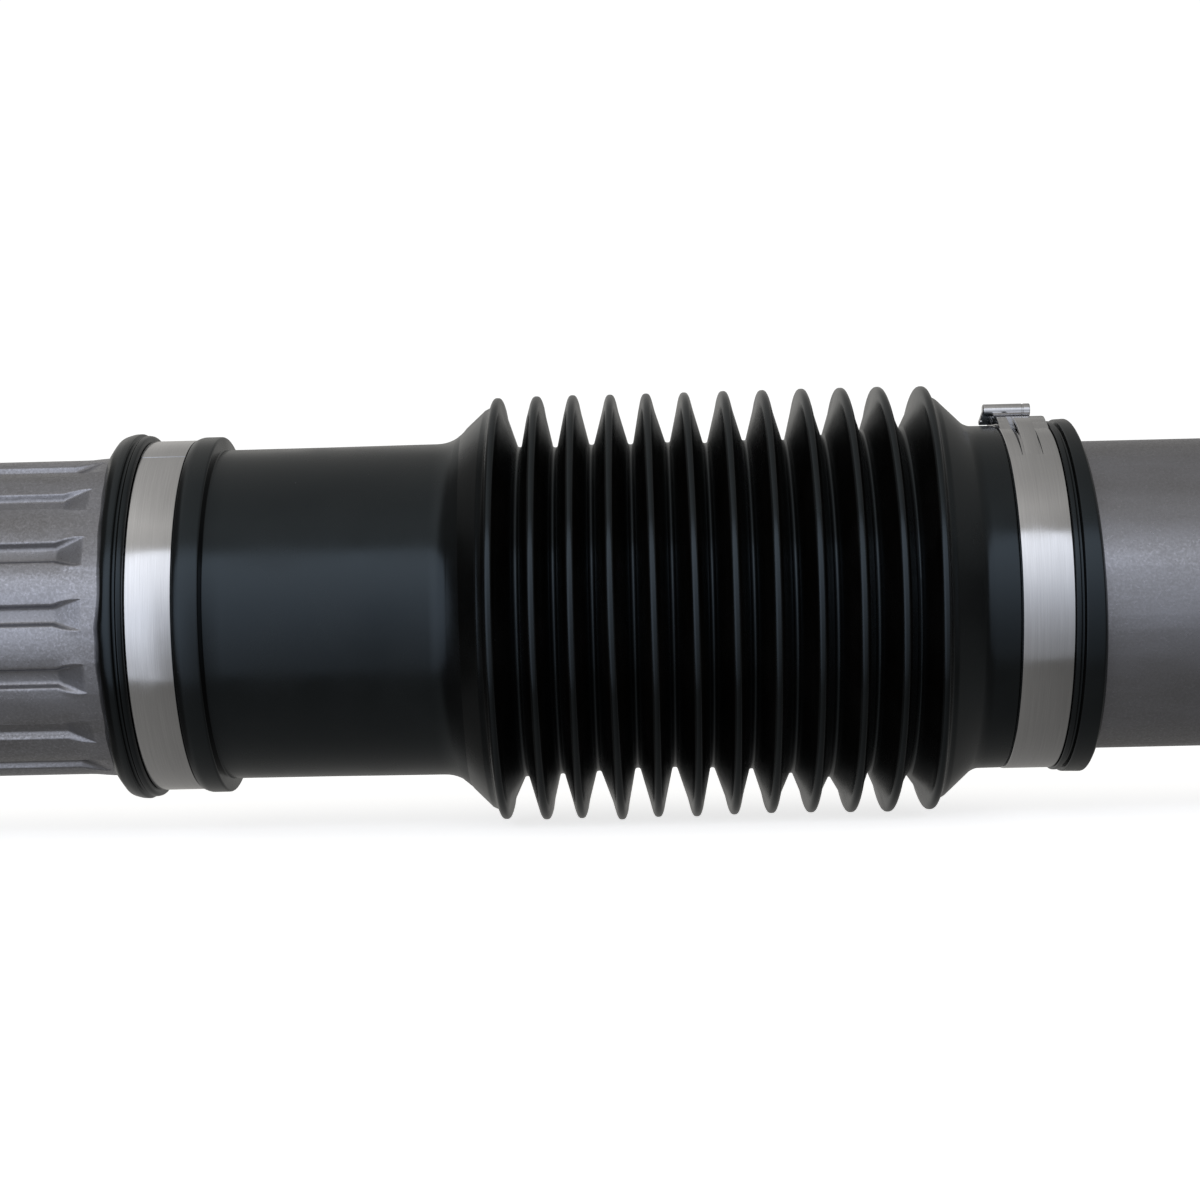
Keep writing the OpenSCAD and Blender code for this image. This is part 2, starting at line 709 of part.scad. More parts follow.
// Square flange with its pilot towards -X, and two ears on Y
module flange_yoke() {
    half = flange_w / 2;
    corner = half - flange_corner_r;
    root_half_w = arm_half_w + flange_waist_r;
    color(forging_grey) difference() {
        union() {
            along_x(-joint_reach) linear_extrude(flange_t) union() {
                square([flange_w, 2 * corner], center = true);
                square([2 * corner, flange_w], center = true);
                for (a = [-1, 1], b = [-1, 1])
                    translate([a * corner, b * corner]) circle(r = flange_corner_r);
            }
            along_x(-joint_reach - pilot_h) cylinder(d = pilot_d, h = pilot_h + 1);
            intersection() {
                translate([0, -ear_reach, 0]) rotate([-90, 0, 0]) linear_extrude(2 * ear_reach) union() {
                    circle(r = ear_r);
                    translate([-joint_reach + 1, -arm_half_w]) square([joint_reach - 1, 2 * arm_half_w]);
                    difference() {
                        translate([-joint_reach + 1, -root_half_w])
                            square([flange_t + flange_waist_r - 1, 2 * root_half_w]);
                        for (side = [-1, 1])
                            translate([-swing_reach + flange_waist_r, side * root_half_w])
                                circle(r = flange_waist_r);
                    }
                }
                along_x() rotate_extrude() polygon([
                    [0, -joint_reach], [half - 1, -joint_reach], [half - 1, -swing_reach],
                    [ear_reach - 2, -ear_r - 4], [arm_edge_r, -ear_r * 0.7],
                    [arm_edge_r, ear_r * 0.6], [ear_reach - 1.5, ear_r], [0, ear_r]
                ]);
            }
        }
        rotate([0, 0, 180]) translate([0, 0, -past / 2]) linear_extrude(past)
            crotch_outline(swing_reach, crotch_r - 2);
        rotate([90, 0, 0]) ear_bores();
        along_x(-joint_reach - pilot_h - 1) cylinder(d = recess_d, h = pilot_h + 1 + recess_depth);
        for (i = [0:3]) rotate([45 + 90 * i, 0, 0]) translate([0, bolt_circle_d / 2, 0]) {
            along_x(-joint_reach - 1) cylinder(d = bolt_hole_d, h = flange_t + 2);
            along_x(-swing_reach - spot_face_h) cylinder(d = spot_face_d, h = 4);
        }
    }
}

module left_weld_yoke() { at_left() weld_yoke(outer_r, outer_bore_r); }
module right_weld_yoke() { at_right() weld_yoke(inner_r, inner_bore_r); }
module left_weld_bead() { at_left() weld_bead(outer_r); }
module right_weld_bead() { at_right() weld_bead(inner_r); }
module left_flange_yoke() { at_left() flange_yoke(); }
module right_flange_yoke() { at_right() flange_yoke(); }
module left_cross() { at_left() joint_cross(); }
module right_cross() { at_right() joint_cross(); }
module left_shaft_cups() { color(steel) at_left() on_shaft_ears() cup(); }
module right_shaft_cups() { color(steel) at_right() on_shaft_ears() cup(); }
module left_flange_cups() { color(steel) at_left() on_flange_ears() cup(); }
module right_flange_cups() { color(steel) at_right() on_flange_ears() cup(); }
module left_shaft_needles() { color("white") at_left() on_shaft_ears() needle_set(); }
module right_shaft_needles() { color("white") at_right() on_shaft_ears() needle_set(); }
module left_flange_needles() { color("white") at_left() on_flange_ears() needle_set(); }
module right_flange_needles() { color("white") at_right() on_flange_ears() needle_set(); }
module left_shaft_washers() { color("ivory") at_left() on_shaft_ears() washer(); }
module right_shaft_washers() { color("ivory") at_right() on_shaft_ears() washer(); }
module left_flange_washers() { color("ivory") at_left() on_flange_ears() washer(); }
module right_flange_washers() { color("ivory") at_right() on_flange_ears() washer(); }
module left_shaft_snap_rings() { color("slategray") at_left() on_shaft_ears() snap_ring(); }
module right_shaft_snap_rings() { color("slategray") at_right() on_shaft_ears() snap_ring(); }
module left_flange_snap_rings() { color("slategray") at_left() on_flange_ears() snap_ring(); }
module right_flange_snap_rings() { color("slategray") at_right() on_flange_ears() snap_ring(); }
module left_cross_seals() { color(rubber_black) at_left() cross_seals(); }
module right_cross_seals() { color(rubber_black) at_right() cross_seals(); }
module left_grease_fitting() { at_left() grease_fitting(); }
module right_grease_fitting() { at_right() grease_fitting(); }

outer_slip_tube();
inner_slip_tube();
grease_plug();
nose_plug();
boot();
left_clamp_band();
right_clamp_band();
right_clamp_bar();
left_weld_yoke();
left_weld_bead();
left_flange_yoke();
left_cross();
left_shaft_cups();
left_flange_cups();
left_shaft_needles();
left_flange_needles();
left_shaft_washers();
left_flange_washers();
left_shaft_snap_rings();
left_flange_snap_rings();
left_cross_seals();
left_grease_fitting();
right_weld_yoke();
right_weld_bead();
right_flange_yoke();
right_cross();
right_shaft_cups();
right_flange_cups();
right_shaft_needles();
right_flange_needles();
right_shaft_washers();
right_flange_washers();
right_shaft_snap_rings();
right_flange_snap_rings();
right_cross_seals();
right_grease_fitting();
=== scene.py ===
"""Looks of a tubular drive shaft with a booted slip joint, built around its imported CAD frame.

Pieces are modelled on the Bench, in millimetres, and turned into metres when they are finished.
The shaft lies along X from the left flange face. Z is up, and the photograph's camera looks along +Y.
Turns around the shaft are in degrees from the top towards the camera.
"""

import logging
import math
import random
from dataclasses import dataclass, field
from enum import Enum
from typing import Callable, Sequence

import bmesh
import bpy
from mathutils import Matrix, Vector


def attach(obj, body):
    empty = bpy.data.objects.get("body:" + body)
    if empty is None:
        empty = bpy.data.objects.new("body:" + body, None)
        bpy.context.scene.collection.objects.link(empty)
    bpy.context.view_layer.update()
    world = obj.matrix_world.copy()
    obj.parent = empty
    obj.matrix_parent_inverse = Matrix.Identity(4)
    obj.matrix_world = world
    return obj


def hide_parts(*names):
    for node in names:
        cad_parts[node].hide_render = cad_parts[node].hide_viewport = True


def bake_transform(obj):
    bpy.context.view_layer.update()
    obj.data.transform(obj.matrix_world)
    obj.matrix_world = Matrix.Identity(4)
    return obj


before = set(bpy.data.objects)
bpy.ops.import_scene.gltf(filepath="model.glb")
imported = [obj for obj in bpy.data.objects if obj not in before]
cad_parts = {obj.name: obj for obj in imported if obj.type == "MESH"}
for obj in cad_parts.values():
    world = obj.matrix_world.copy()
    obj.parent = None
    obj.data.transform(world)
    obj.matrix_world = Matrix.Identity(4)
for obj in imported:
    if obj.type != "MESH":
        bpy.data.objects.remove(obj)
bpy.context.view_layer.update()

LOG = logging.getLogger("drive_shaft")
MM = 0.001
MERGE_MM = 0.002
MACHINED = "machined"

Point = tuple[float, float]
Profile = list[Point]
Points = tuple[Point, ...]
Place = tuple[float, float, float]
Socket = bpy.types.NodeSocket


class Body(Enum):
    """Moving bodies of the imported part."""

    OUTER = "outer_shaft"
    INNER = "inner_shaft"
    LEFT_CROSS = "left_cross_body"
    RIGHT_CROSS = "right_cross_body"
    LEFT_FLANGE = "left_flange"
    RIGHT_FLANGE = "right_flange"


class Slot(Enum):
    """Material slots of the record."""

    TUBE = "tube_steel"
    PLUG = "plug_steel"
    BOOT = "boot_rubber"
    BAND = "band_steel"
    FORGED = "forged_steel"
    WELD = "weld_steel"
    CROSS = "cross_steel"
    CUP = "cup_steel"
    WASHER = "washer_plastic"
    SPRING = "spring_steel"
    SEAL = "seal_rubber"
    FITTING = "fitting_steel"


class Side(Enum):
    """End of the shaft."""

    LEFT = "left"
    RIGHT = "right"


class Ears(Enum):
    """Pair of ears that a trunnion's pieces sit in: the shaft's ears are on Z, the flange's on Y."""

    SHAFT = "shaft"
    FLANGE = "flange"


class Axis(Enum):
    """Axis of the frame."""

    X = 0
    Y = 1
    Z = 2

    @property
    def vector(self) -> Place:
        """Unit vector along the axis."""
        return tuple(1.0 if i == self.value else 0.0 for i in range(3))


def rounded(corners: Sequence[tuple[float, ...]]) -> Profile:
    """Outline with filleted corners.

    Args:
        corners: Corner points as (a, b) or (a, b, fillet radius) or (a, b, fillet radius, steps).

    Returns:
        The outline's points, with each fillet as a run of short steps.
    """
    made: Profile = []
    last = len(corners) - 1
    for i, corner in enumerate(corners):
        point = Vector(corner[:2])
        radius = corner[2] if len(corner) > 2 else 0.0
        steps = int(corner[3]) if len(corner) > 3 else 4
        if radius <= 0 or i in (0, last):
            made.append((point.x, point.y))
            continue
        before, after = Vector(corners[i - 1][:2]) - point, Vector(corners[i + 1][:2]) - point
        if before.length < 1e-6 or after.length < 1e-6:
            made += [(point.x, point.y)] * (steps + 1)
            continue
        reach = min(radius, 0.45 * before.length, 0.45 * after.length)
        start = point + before.normalized() * reach
        end = point + after.normalized() * reach
        for k in range(steps + 1):
            t = k / steps
            spot = start * (1 - t) ** 2 + point * 2 * t * (1 - t) + end * t * t
            made.append((spot.x, spot.y))
    return made


def arc(centre: Point, radius: float, start: float, end: float, steps: int) -> Profile:
    """Arc in a lathe profile, with angles from the outward direction towards +X.

    Args:
        centre: Centre as (place along the axis, radius from it).
        radius: Radius of the arc.
        start: First angle in degrees.
        end: Last angle in degrees.
        steps: Number of steps.

    Returns:
        The arc's points.
    """
    made = []
    for k in range(steps + 1):
        a = math.radians(start + (end - start) * k / steps)
        made.append((centre[0] + radius * math.sin(a), centre[1] + radius * math.cos(a)))
    return made


def smoothstep(t: float) -> float:
    """Eases t from 0 to 1."""
    t = min(1.0, max(0.0, t))
    return t * t * (3 - 2 * t)


def around(turn: float, radius: float) -> Point:
    """Y and Z at a turn from the top towards the camera."""
    a = math.radians(turn)
    return -radius * math.sin(a), radius * math.cos(a)


def strip_section(x0: float, x1: float, low: float, high: float, foot: tuple[float, int],
                  edge: tuple[float, int]) -> Profile:
    """Section of a steel strip, for a closed lathe profile.

    Args:
        x0: Left side.
        x1: Right side.
        low: Radius of the underside.
        high: Radius of the upper side.
        foot: Fillet radius and steps of the lower edges.
        edge: Fillet radius and steps of the upper edges.

    Returns:
        The section's points, from the middle of the underside.
    """
    mid = (x0 + x1) / 2
    corners = [
        (mid, low), (x0, low, *foot), (x0, high, *edge), (x1, high, *edge), (x1, low, *foot), (mid, low)]
    return rounded(corners)[:-1]


class Bench:
    """Workbench for one mesh at a time, shaped with Blender's own edit-mode operators."""

    def __init__(self) -> None:
        """Starts with an empty bench."""
        self.obj: bpy.types.Object | None = None

    # Starting and finishing a piece

    def clear(self) -> None:
        """Leaves edit mode and deselects every object."""
        if bpy.context.object and bpy.context.object.mode != "OBJECT":
            bpy.ops.object.mode_set(mode="OBJECT")
        bpy.ops.object.select_all(action="DESELECT")

    def take(self, obj: bpy.types.Object) -> "Bench":
        """Puts an object on the bench in edit mode.

        Args:
            obj: The mesh object.

        Returns:
            The bench.
        """
        self.clear()
        obj.select_set(True)
        bpy.context.view_layer.objects.active = obj
        self.obj = obj
        bpy.ops.object.mode_set(mode="EDIT")
        bpy.ops.mesh.select_mode(type="VERT")
        return self

    def _began(self, name: str) -> "Bench":
        """Names the new primitive and opens it in edit mode.

        Args:
            name: Name of the piece.

        Returns:
            The bench.
        """
        obj = bpy.context.active_object
        obj.name = name
        obj.data.name = name
        return self.take(obj)

    def cylinder(self, name: str, radius: float, depth: float, place: Place, steps: int) -> "Bench":
        """Starts from a cylinder along Z.

        Args:
            name: Name of the piece.
            radius: Radius.
            depth: Length along Z.
            place: Centre.
            steps: Number of sides.

        Returns:
            The bench.
        """
        self.clear()
        bpy.ops.mesh.primitive_cylinder_add(vertices=steps, radius=radius, depth=depth, location=place)
        bpy.ops.object.transform_apply(location=True, rotation=True, scale=True)
        return self._began(name)

    def cube(self, name: str, size: Place, place: Place) -> "Bench":
        """Starts from a box.

        Args:
            name: Name of the piece.
            size: Its three sizes.
            place: Centre.

        Returns:
            The bench.
        """
        self.clear()
        bpy.ops.mesh.primitive_cube_add(size=1, location=place, scale=size)
        bpy.ops.object.transform_apply(location=True, rotation=True, scale=True)
        return self._began(name)

    def sphere(self, name: str, radius: float, place: Place, steps: int = 32) -> "Bench":
        """Starts from a ball.

        Args:
            name: Name of the piece.
            radius: Radius.
            place: Centre.
            steps: Number of segments.

        Returns:
            The bench.
        """
        self.clear()
        bpy.ops.mesh.primitive_uv_sphere_add(
            segments=steps, ring_count=steps // 2, radius=radius, location=place)
        bpy.ops.object.transform_apply(location=True, rotation=True, scale=True)
        return self._began(name)

    def line(self, name: str, points: Sequence[Place]) -> "Bench":
        """Draws a line of vertices: a plane merged to one point, then extruded from point to point.

        Args:
            name: Name of the piece.
            points: The line's points.

        Returns:
            The bench, with the whole line selected.
        """
        self.clear()
        bpy.ops.mesh.primitive_plane_add(size=1, location=(0, 0, 0))
        self._began(name)
        bpy.ops.mesh.select_all(action="SELECT")
        bpy.ops.mesh.merge(type="CENTER")
        bpy.ops.transform.translate(value=points[0])
        here = Vector(points[0])
        for point in points[1:]:
            step = Vector(point) - here
            bpy.ops.mesh.extrude_region_move(TRANSFORM_OT_translate={"value": step})
            here = Vector(point)
        bpy.ops.mesh.select_all(action="SELECT")
        return self

    def lathe(self, name: str, profile: Profile, steps: int, start: float = 0, sweep: float = 360,
              close: bool = True) -> "Bench":
        """Turns a profile around the shaft's axis.

        Args:
            name: Name of the piece.
            profile: Points as (place along X, radius).
            steps: Steps of the spin.
            start: First turn in degrees from the top towards the camera.
            sweep: Swept angle in degrees towards the camera.
            close: Whether the profile's last point joins its first.

        Returns:
            The bench, with all selected.
        """
        ring = profile + [profile[0]] if close else profile
        self.line(name, [(x, 0.0, r) for x, r in ring])
        self.merge()
        if start:
            self.turn(start)
        self.spin(steps, sweep)
        self.merge()
        if sweep < 360 and close:
            bpy.ops.mesh.select_all(action="DESELECT")
            bpy.ops.mesh.select_non_manifold()
            bpy.ops.mesh.fill()
        return self.outward()

    def finish(self, smooth_deg: float = 35, bevel: float = 0, bevel_steps: int = 2) -> bpy.types.Object:
        """Ends the piece: optional bevel, metres, smooth shading.

        Args:
            smooth_deg: Edges sharper than this stay sharp.
            bevel: Width of a bevel on the sharp edges, in millimetres.
            bevel_steps: Steps of the bevel.

        Returns:
            The finished object, at the origin.
        """
        obj = self.obj
        self.clear()
        obj.select_set(True)
        bpy.context.view_layer.objects.active = obj
        if bevel:
            self.modify("BEVEL", width=bevel, segments=bevel_steps, limit_method="ANGLE",
                        angle_limit=math.radians(30), harden_normals=False)
        obj.scale = (MM, MM, MM)
        bpy.ops.object.transform_apply(location=True, rotation=True, scale=True)
        bpy.ops.object.shade_smooth_by_angle(angle=math.radians(smooth_deg))
        self.clear()
        return obj

    # Selecting

    def pick(self, test: Callable[[Vector], bool]) -> "Bench":
        """Selects the vertices that pass a test on their place, and what lies between them.

        Args:
            test: Takes a vertex's place.

        Returns:
            The bench.
        """
        bpy.ops.mesh.select_all(action="DESELECT")
        mesh = bmesh.from_edit_mesh(self.obj.data)
        for vert in mesh.verts:
            vert.select = test(vert.co)
        mesh.select_flush(True)
        bmesh.update_edit_mesh(self.obj.data)
        return self

    def all(self) -> "Bench":
        """Selects everything."""
        bpy.ops.mesh.select_all(action="SELECT")
        return self

    # Shaping what is selected

    def merge(self, distance: float = MERGE_MM) -> "Bench":
        """Merges all vertices that lie on each other.

        Args:
            distance: Distance up to which they merge.

        Returns:
            The bench.
        """
        bpy.ops.mesh.select_all(action="SELECT")
        bpy.ops.mesh.remove_doubles(threshold=distance)
        return self

    def outward(self) -> "Bench":
        """Points all normals out.

        Returns:
            The bench.
        """
        bpy.ops.mesh.select_all(action="SELECT")
        bpy.ops.mesh.normals_make_consistent(inside=False)
        return self

    def move(self, step: Place) -> "Bench":
        """Moves the selection."""
        bpy.ops.transform.translate(value=step)
        return self

    def size(self, factors: Place, centre: Place) -> "Bench":
        """Resizes the selection about a centre."""
        bpy.ops.transform.resize(value=factors, center_override=centre)
        return self

    def turn(self, degrees: float, axis: Axis = Axis.X, centre: Place = (0, 0, 0)) -> "Bench":
        """Turns the selection the right-handed way; with no window the operator turns the other way."""
        bpy.ops.transform.rotate(value=-math.radians(degrees), orient_axis=axis.name, center_override=centre)
        return self

    def spin(self, steps: int, sweep: float) -> "Bench":
        """Spins the selection about the shaft's axis into a surface, the right-handed way."""
        bpy.ops.mesh.spin(steps=steps, angle=-math.radians(sweep), center=(0, 0, 0), axis=Axis.X.vector)
        return self

    def copies(self, count: int) -> "Bench":
        """Copies all of the mesh around the shaft's axis.

        Args:
            count: How many there are in the end.

        Returns:
            The bench.
        """
        bpy.ops.mesh.select_all(action="SELECT")
        bpy.ops.mesh.spin(steps=count - 1, dupli=True, angle=math.tau * (count - 1) / count,
                          center=(0, 0, 0), axis=Axis.X.vector)
        return self

    def extrude(self, step: Place) -> "Bench":
        """Extrudes the selection."""
        bpy.ops.mesh.extrude_region_move(TRANSFORM_OT_translate={"value": step})
        return self

    def place(self, places: Sequence[Place]) -> "Bench":
        """Puts the line of vertices just extruded at its own places, from one end to the other.

        Args:
            places: One place for each vertex, from the end of the line that is nearest to the first.

        Returns:
            The bench.
        """
        mesh = bmesh.from_edit_mesh(self.obj.data)
        beside = {v: [e.other_vert(v) for e in v.link_edges if e.other_vert(v).select]
                  for v in mesh.verts if v.select}
        ends = [v for v in beside if len(beside[v]) == 1]
        line = [min(ends, key=lambda v: (v.co - Vector(places[0])).length)]
        while len(line) < len(beside):
            line.append(next(v for v in beside[line[-1]] if v not in line[-2:]))
        for vert, spot in zip(line, places):
            vert.co = spot
        bmesh.update_edit_mesh(self.obj.data)
        return self

    def shape(self, change: Callable[[Vector], Vector]) -> "Bench":
        """Moves every vertex of the mesh in code, as sculpting does.

        Args:
            change: Takes a vertex's place and returns the new one.

        Returns:
            The bench.
        """
        mesh = bmesh.from_edit_mesh(self.obj.data)
        for vert in mesh.verts:
            vert.co = change(vert.co)
        bmesh.update_edit_mesh(self.obj.data)
        return self

    def cut(self, *tools: bpy.types.Object, operation: str = "DIFFERENCE") -> "Bench":
        """Cuts tools, still in millimetres, out of the mesh, or adds them to it, and removes them.

        Args:
            *tools: The tool objects.
            operation: Boolean operation.

        Returns:
            The bench.
        """
        for tool in tools:
            self.modify("BOOLEAN", object=tool, operation=operation, solver="EXACT")
            bpy.data.objects.remove(tool)
        return self

    def lay_aside(self) -> bpy.types.Object:
        """Takes the unfinished mesh off the bench.

        Returns:
            The object, still in millimetres.
        """
        obj = self.obj
        self.clear()
        self.obj = None
        return obj

    def mark(self, name: str, share: Callable[[Vector], float]) -> "Bench":
        """Writes an attribute of the points, for the material to read.

        Args:
            name: Name of the attribute.
            share: Takes a point's place and returns its value from 0 to 1.

        Returns:
            The bench.
        """
        if self.obj.mode != "OBJECT":
            bpy.ops.object.mode_set(mode="OBJECT")
        layer = self.obj.data.attributes.new(name, "FLOAT", "POINT")
        for vert, value in zip(self.obj.data.vertices, layer.data):
            value.value = share(vert.co)
        return self

    def modify(self, kind: str, **settings: object) -> "Bench":
        """Adds a modifier and applies it.

        Args:
            kind: Type of the modifier.
            **settings: Its values.

        Returns:
            The bench.
        """
        if self.obj.mode != "OBJECT":
            bpy.ops.object.mode_set(mode="OBJECT")
        modifier = self.obj.modifiers.new(kind.title(), kind)
        for key, value in settings.items():
            setattr(modifier, key, value)
        bpy.context.view_layer.objects.active = self.obj
        bpy.ops.object.modifier_apply(modifier=modifier.name)
        return self

    def join(self, name: str, parts: Sequence[bpy.types.Object]) -> bpy.types.Object:
        """Joins finished objects into one piece.

        Args:
            name: Name of the piece.
            parts: The objects; the first takes the others in.

        Returns:
            The joined object.
        """
        self.clear()
        for part in parts:
            part.select_set(True)
        bpy.context.view_layer.objects.active = parts[0]
        bpy.ops.object.join()
        parts[0].name = name
        parts[0].data.name = name
        self.clear()
        return parts[0]

    def copy_node(self, name: str, node: str) -> "Bench":
        """Starts from a merged copy of a CAD node, in millimetres.

        Args:
            name: Name of the piece.
            node: Name of the CAD node.

        Returns:
            The bench.
        """
        self.clear()
        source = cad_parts[node]
        source.select_set(True)
        bpy.context.view_layer.objects.active = source
        bpy.ops.object.duplicate()
        copy = bpy.context.active_object
        copy.name = name
        copy.data.name = name
        for key in [key for key in copy.keys() if key.startswith("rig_")]:
            del copy[key]
        copy.parent = None
        copy.data.materials.clear()
        copy.scale = (1 / MM, 1 / MM, 1 / MM)
        bpy.ops.object.transform_apply(location=True, rotation=True, scale=True)
        self.take(copy)
        return self.merge()


BENCH = Bench()


# Materials


class Shader:
    """Node tree of one material, with short ways to add its nodes."""

    def __init__(self, name: str) -> None:
        """Makes the material with a Principled shader.

        Args:
            name: Name of the material.
        """
        self.material = bpy.data.materials.new(name)
        self.material.use_nodes = True
        self.tree = self.material.node_tree
        self.bsdf = self.tree.nodes["Principled BSDF"]
        self.coords = self.tree.nodes.new("ShaderNodeTexCoord").outputs["Object"]

    def set(self, **values: object) -> "Shader":
        """Sets the shader's own sockets.

        Args:
            **values: Values by the sockets' names, with underscores for spaces.

        Returns:
            The shader.
        """
        for key, value in values.items():
            self.bsdf.inputs[key.replace("_", " ")].default_value = value
        return self

    def link(self, source: Socket, target: Socket | str) -> None:
        """Links an output to an input or to a named socket of the shader."""
        self.tree.links.new(source, self.bsdf.inputs[target] if isinstance(target, str) else target)

    def scaled(self, scale: Place) -> Socket:
        """Object coordinates times a scale.

        Args:
            scale: Scale for each axis.

        Returns:
            The scaled coordinates.
        """
        node = self.tree.nodes.new("ShaderNodeMapping")
        node.inputs["Scale"].default_value = scale
        self.tree.links.new(self.coords, node.inputs["Vector"])
        return node.outputs["Vector"]

    def noise(self, scale: float, detail: float = 3, rough: float = 0.5,
              stretch: Place = (1, 1, 1)) -> Socket:
        """Noise in object space.

        Args:
            scale: Scale in cells a metre.
            detail: Number of octaves.
            rough: Strength of the fine octaves.
            stretch: Scale for each axis.

        Returns:
            The noise's value.
        """
        node = self.tree.nodes.new("ShaderNodeTexNoise")
        node.inputs["Scale"].default_value = scale
        node.inputs["Detail"].default_value = detail
        node.inputs["Roughness"].default_value = rough
        self.tree.links.new(self.scaled(stretch), node.inputs["Vector"])
        return node.outputs["Fac"]

    def spots(self, scale: float) -> Socket:
        """Scattered points in object space.

        Args:
            scale: Scale in points a metre.

        Returns:
            Distance to the nearest point.
        """
        node = self.tree.nodes.new("ShaderNodeTexVoronoi")
        node.inputs["Scale"].default_value = scale
        self.tree.links.new(self.coords, node.inputs["Vector"])
        return node.outputs["Distance"]

    def ramp(self, source: Socket, stops: Sequence[tuple[float, object]]) -> Socket:
        """Colour ramp.

        Args:
            source: The value.
            stops: Positions with a colour, or with a number for a grey.

        Returns:
            The colour.
        """
        node = self.tree.nodes.new("ShaderNodeValToRGB")
        ramp = node.color_ramp
        while len(ramp.elements) < len(stops):
            ramp.elements.new(0.5)
        for element, (position, colour) in zip(ramp.elements, stops):
            element.position = position
            grey = isinstance(colour, (int, float))
            element.color = (colour, colour, colour, 1) if grey else (*colour[:3], 1)
        self.tree.links.new(source, node.inputs["Fac"])
        return node.outputs["Color"]

    def mix(self, factor: Socket | float, first: object, second: object, blend: str = "MIX") -> Socket:
        """Mix of two colours.

        Args:
            factor: Share of the second.
            first: A socket or a colour.
            second: A socket or a colour.
            blend: Blend mode.

        Returns:
            The mixed colour.
        """
        node = self.tree.nodes.new("ShaderNodeMix")
        node.data_type = "RGBA"
        node.blend_type = blend
        for socket, value in ((node.inputs[0], factor), (node.inputs[6], first), (node.inputs[7], second)):
            if isinstance(value, Socket):
                self.tree.links.new(value, socket)
            elif isinstance(value, (int, float)):
                socket.default_value = value
            else:
                socket.default_value = (*value[:3], 1)
        return node.outputs[2]

    def maths(self, operation: str, first: object, second: object, clamp: bool = False) -> Socket:
        """Math node.

        Args:
            operation: Name of the operation.
            first: A socket or a number.
            second: A socket or a number.
            clamp: Whether the result stays between 0 and 1.

        Returns:
            The result.
        """
        node = self.tree.nodes.new("ShaderNodeMath")
        node.operation = operation
        node.use_clamp = clamp
        for socket, value in zip(node.inputs, (first, second)):
            if isinstance(value, Socket):
                self.tree.links.new(value, socket)
            else:
                socket.default_value = value
        return node.outputs[0]

    def attribute(self, name: str) -> Socket:
        """Attribute of the piece.

        Args:
            name: Its name.

        Returns:
            Its value.
        """
        node = self.tree.nodes.new("ShaderNodeAttribute")
        node.attribute_name = name
        return node.outputs["Fac"]

    def bump(self, height: Socket, depth_mm: float, strength: float) -> None:
        """Adds bump under any bump that is there.

        Args:
            height: Height between 0 and 1.
            depth_mm: Depth of the relief in millimetres.
            strength: Strength of the bump.
        """
        node = self.tree.nodes.new("ShaderNodeBump")
        node.inputs["Distance"].default_value = depth_mm * MM
        node.inputs["Strength"].default_value = strength
        self.tree.links.new(height, node.inputs["Height"])
        before = self.bsdf.inputs["Normal"]
        if before.is_linked:
            self.tree.links.new(before.links[0].from_socket, node.inputs["Normal"])
        self.tree.links.new(node.outputs["Normal"], before)


@dataclass(frozen=True)
class BlastedTube:
    """Grey shot-blasted tube steel, mottled, with painted shade that darkens it in its spline grooves."""

    base: Place = (0.366, 0.369, 0.402)
    # Dark tone of the random mottle, also the colour of the painted shade in the grooves.
    brown: Place = (0.262, 0.257, 0.264)
    light: Place = (0.54, 0.545, 0.60)
    roughness: float = 0.32
    # Radius in metres below which painted shade darkens the tube.
    groove_shade_r: float = 0.0322

    def make(self, name: str) -> bpy.types.Material:
        """Builds the material.

        Args:
            name: Name of the material.

        Returns:
            The material.
        """
        s = Shader(name)
        s.set(Metallic=0.85, Roughness=self.roughness)
        cloud = s.noise(60, 4, 0.6, (0.35, 1, 1))
        fine = s.noise(2000, 4, 0.65)
        grain = s.noise(2600, 2, 0.6)
        tone = s.mix(s.ramp(cloud, [(0.35, 0.0), (0.65, 1.0)]), self.brown, self.base)
        tone = s.mix(s.ramp(fine, [(0.42, 0.0), (0.8, 0.6)]), tone, self.light)
        radial = s.tree.nodes.new("ShaderNodeVectorMath")
        radial.operation = "LENGTH"
        s.tree.links.new(s.scaled((0, 1, 1)), radial.inputs[0])
        # Painted shade: below the groove radius the tone is pulled towards the dark tone. This covers the
        # spline grooves and every surface further in, such as the inner tube and the bores.
        groove_shade = s.maths("SUBTRACT", self.groove_shade_r, radial.outputs["Value"])
        groove_shade = s.maths("MULTIPLY", groove_shade, 1400, clamp=True)
        tone = s.mix(s.maths("MULTIPLY", groove_shade, 0.45), tone, self.brown)
        s.link(tone, "Base Color")
        s.link(s.ramp(fine, [(0.35, self.roughness + 0.1), (0.7, self.roughness - 0.08)]), "Roughness")
        s.bump(grain, 0.04, 0.5)
        s.bump(fine, 0.05, 0.5)
        s.bump(cloud, 0.10, 0.25)
        return s.material


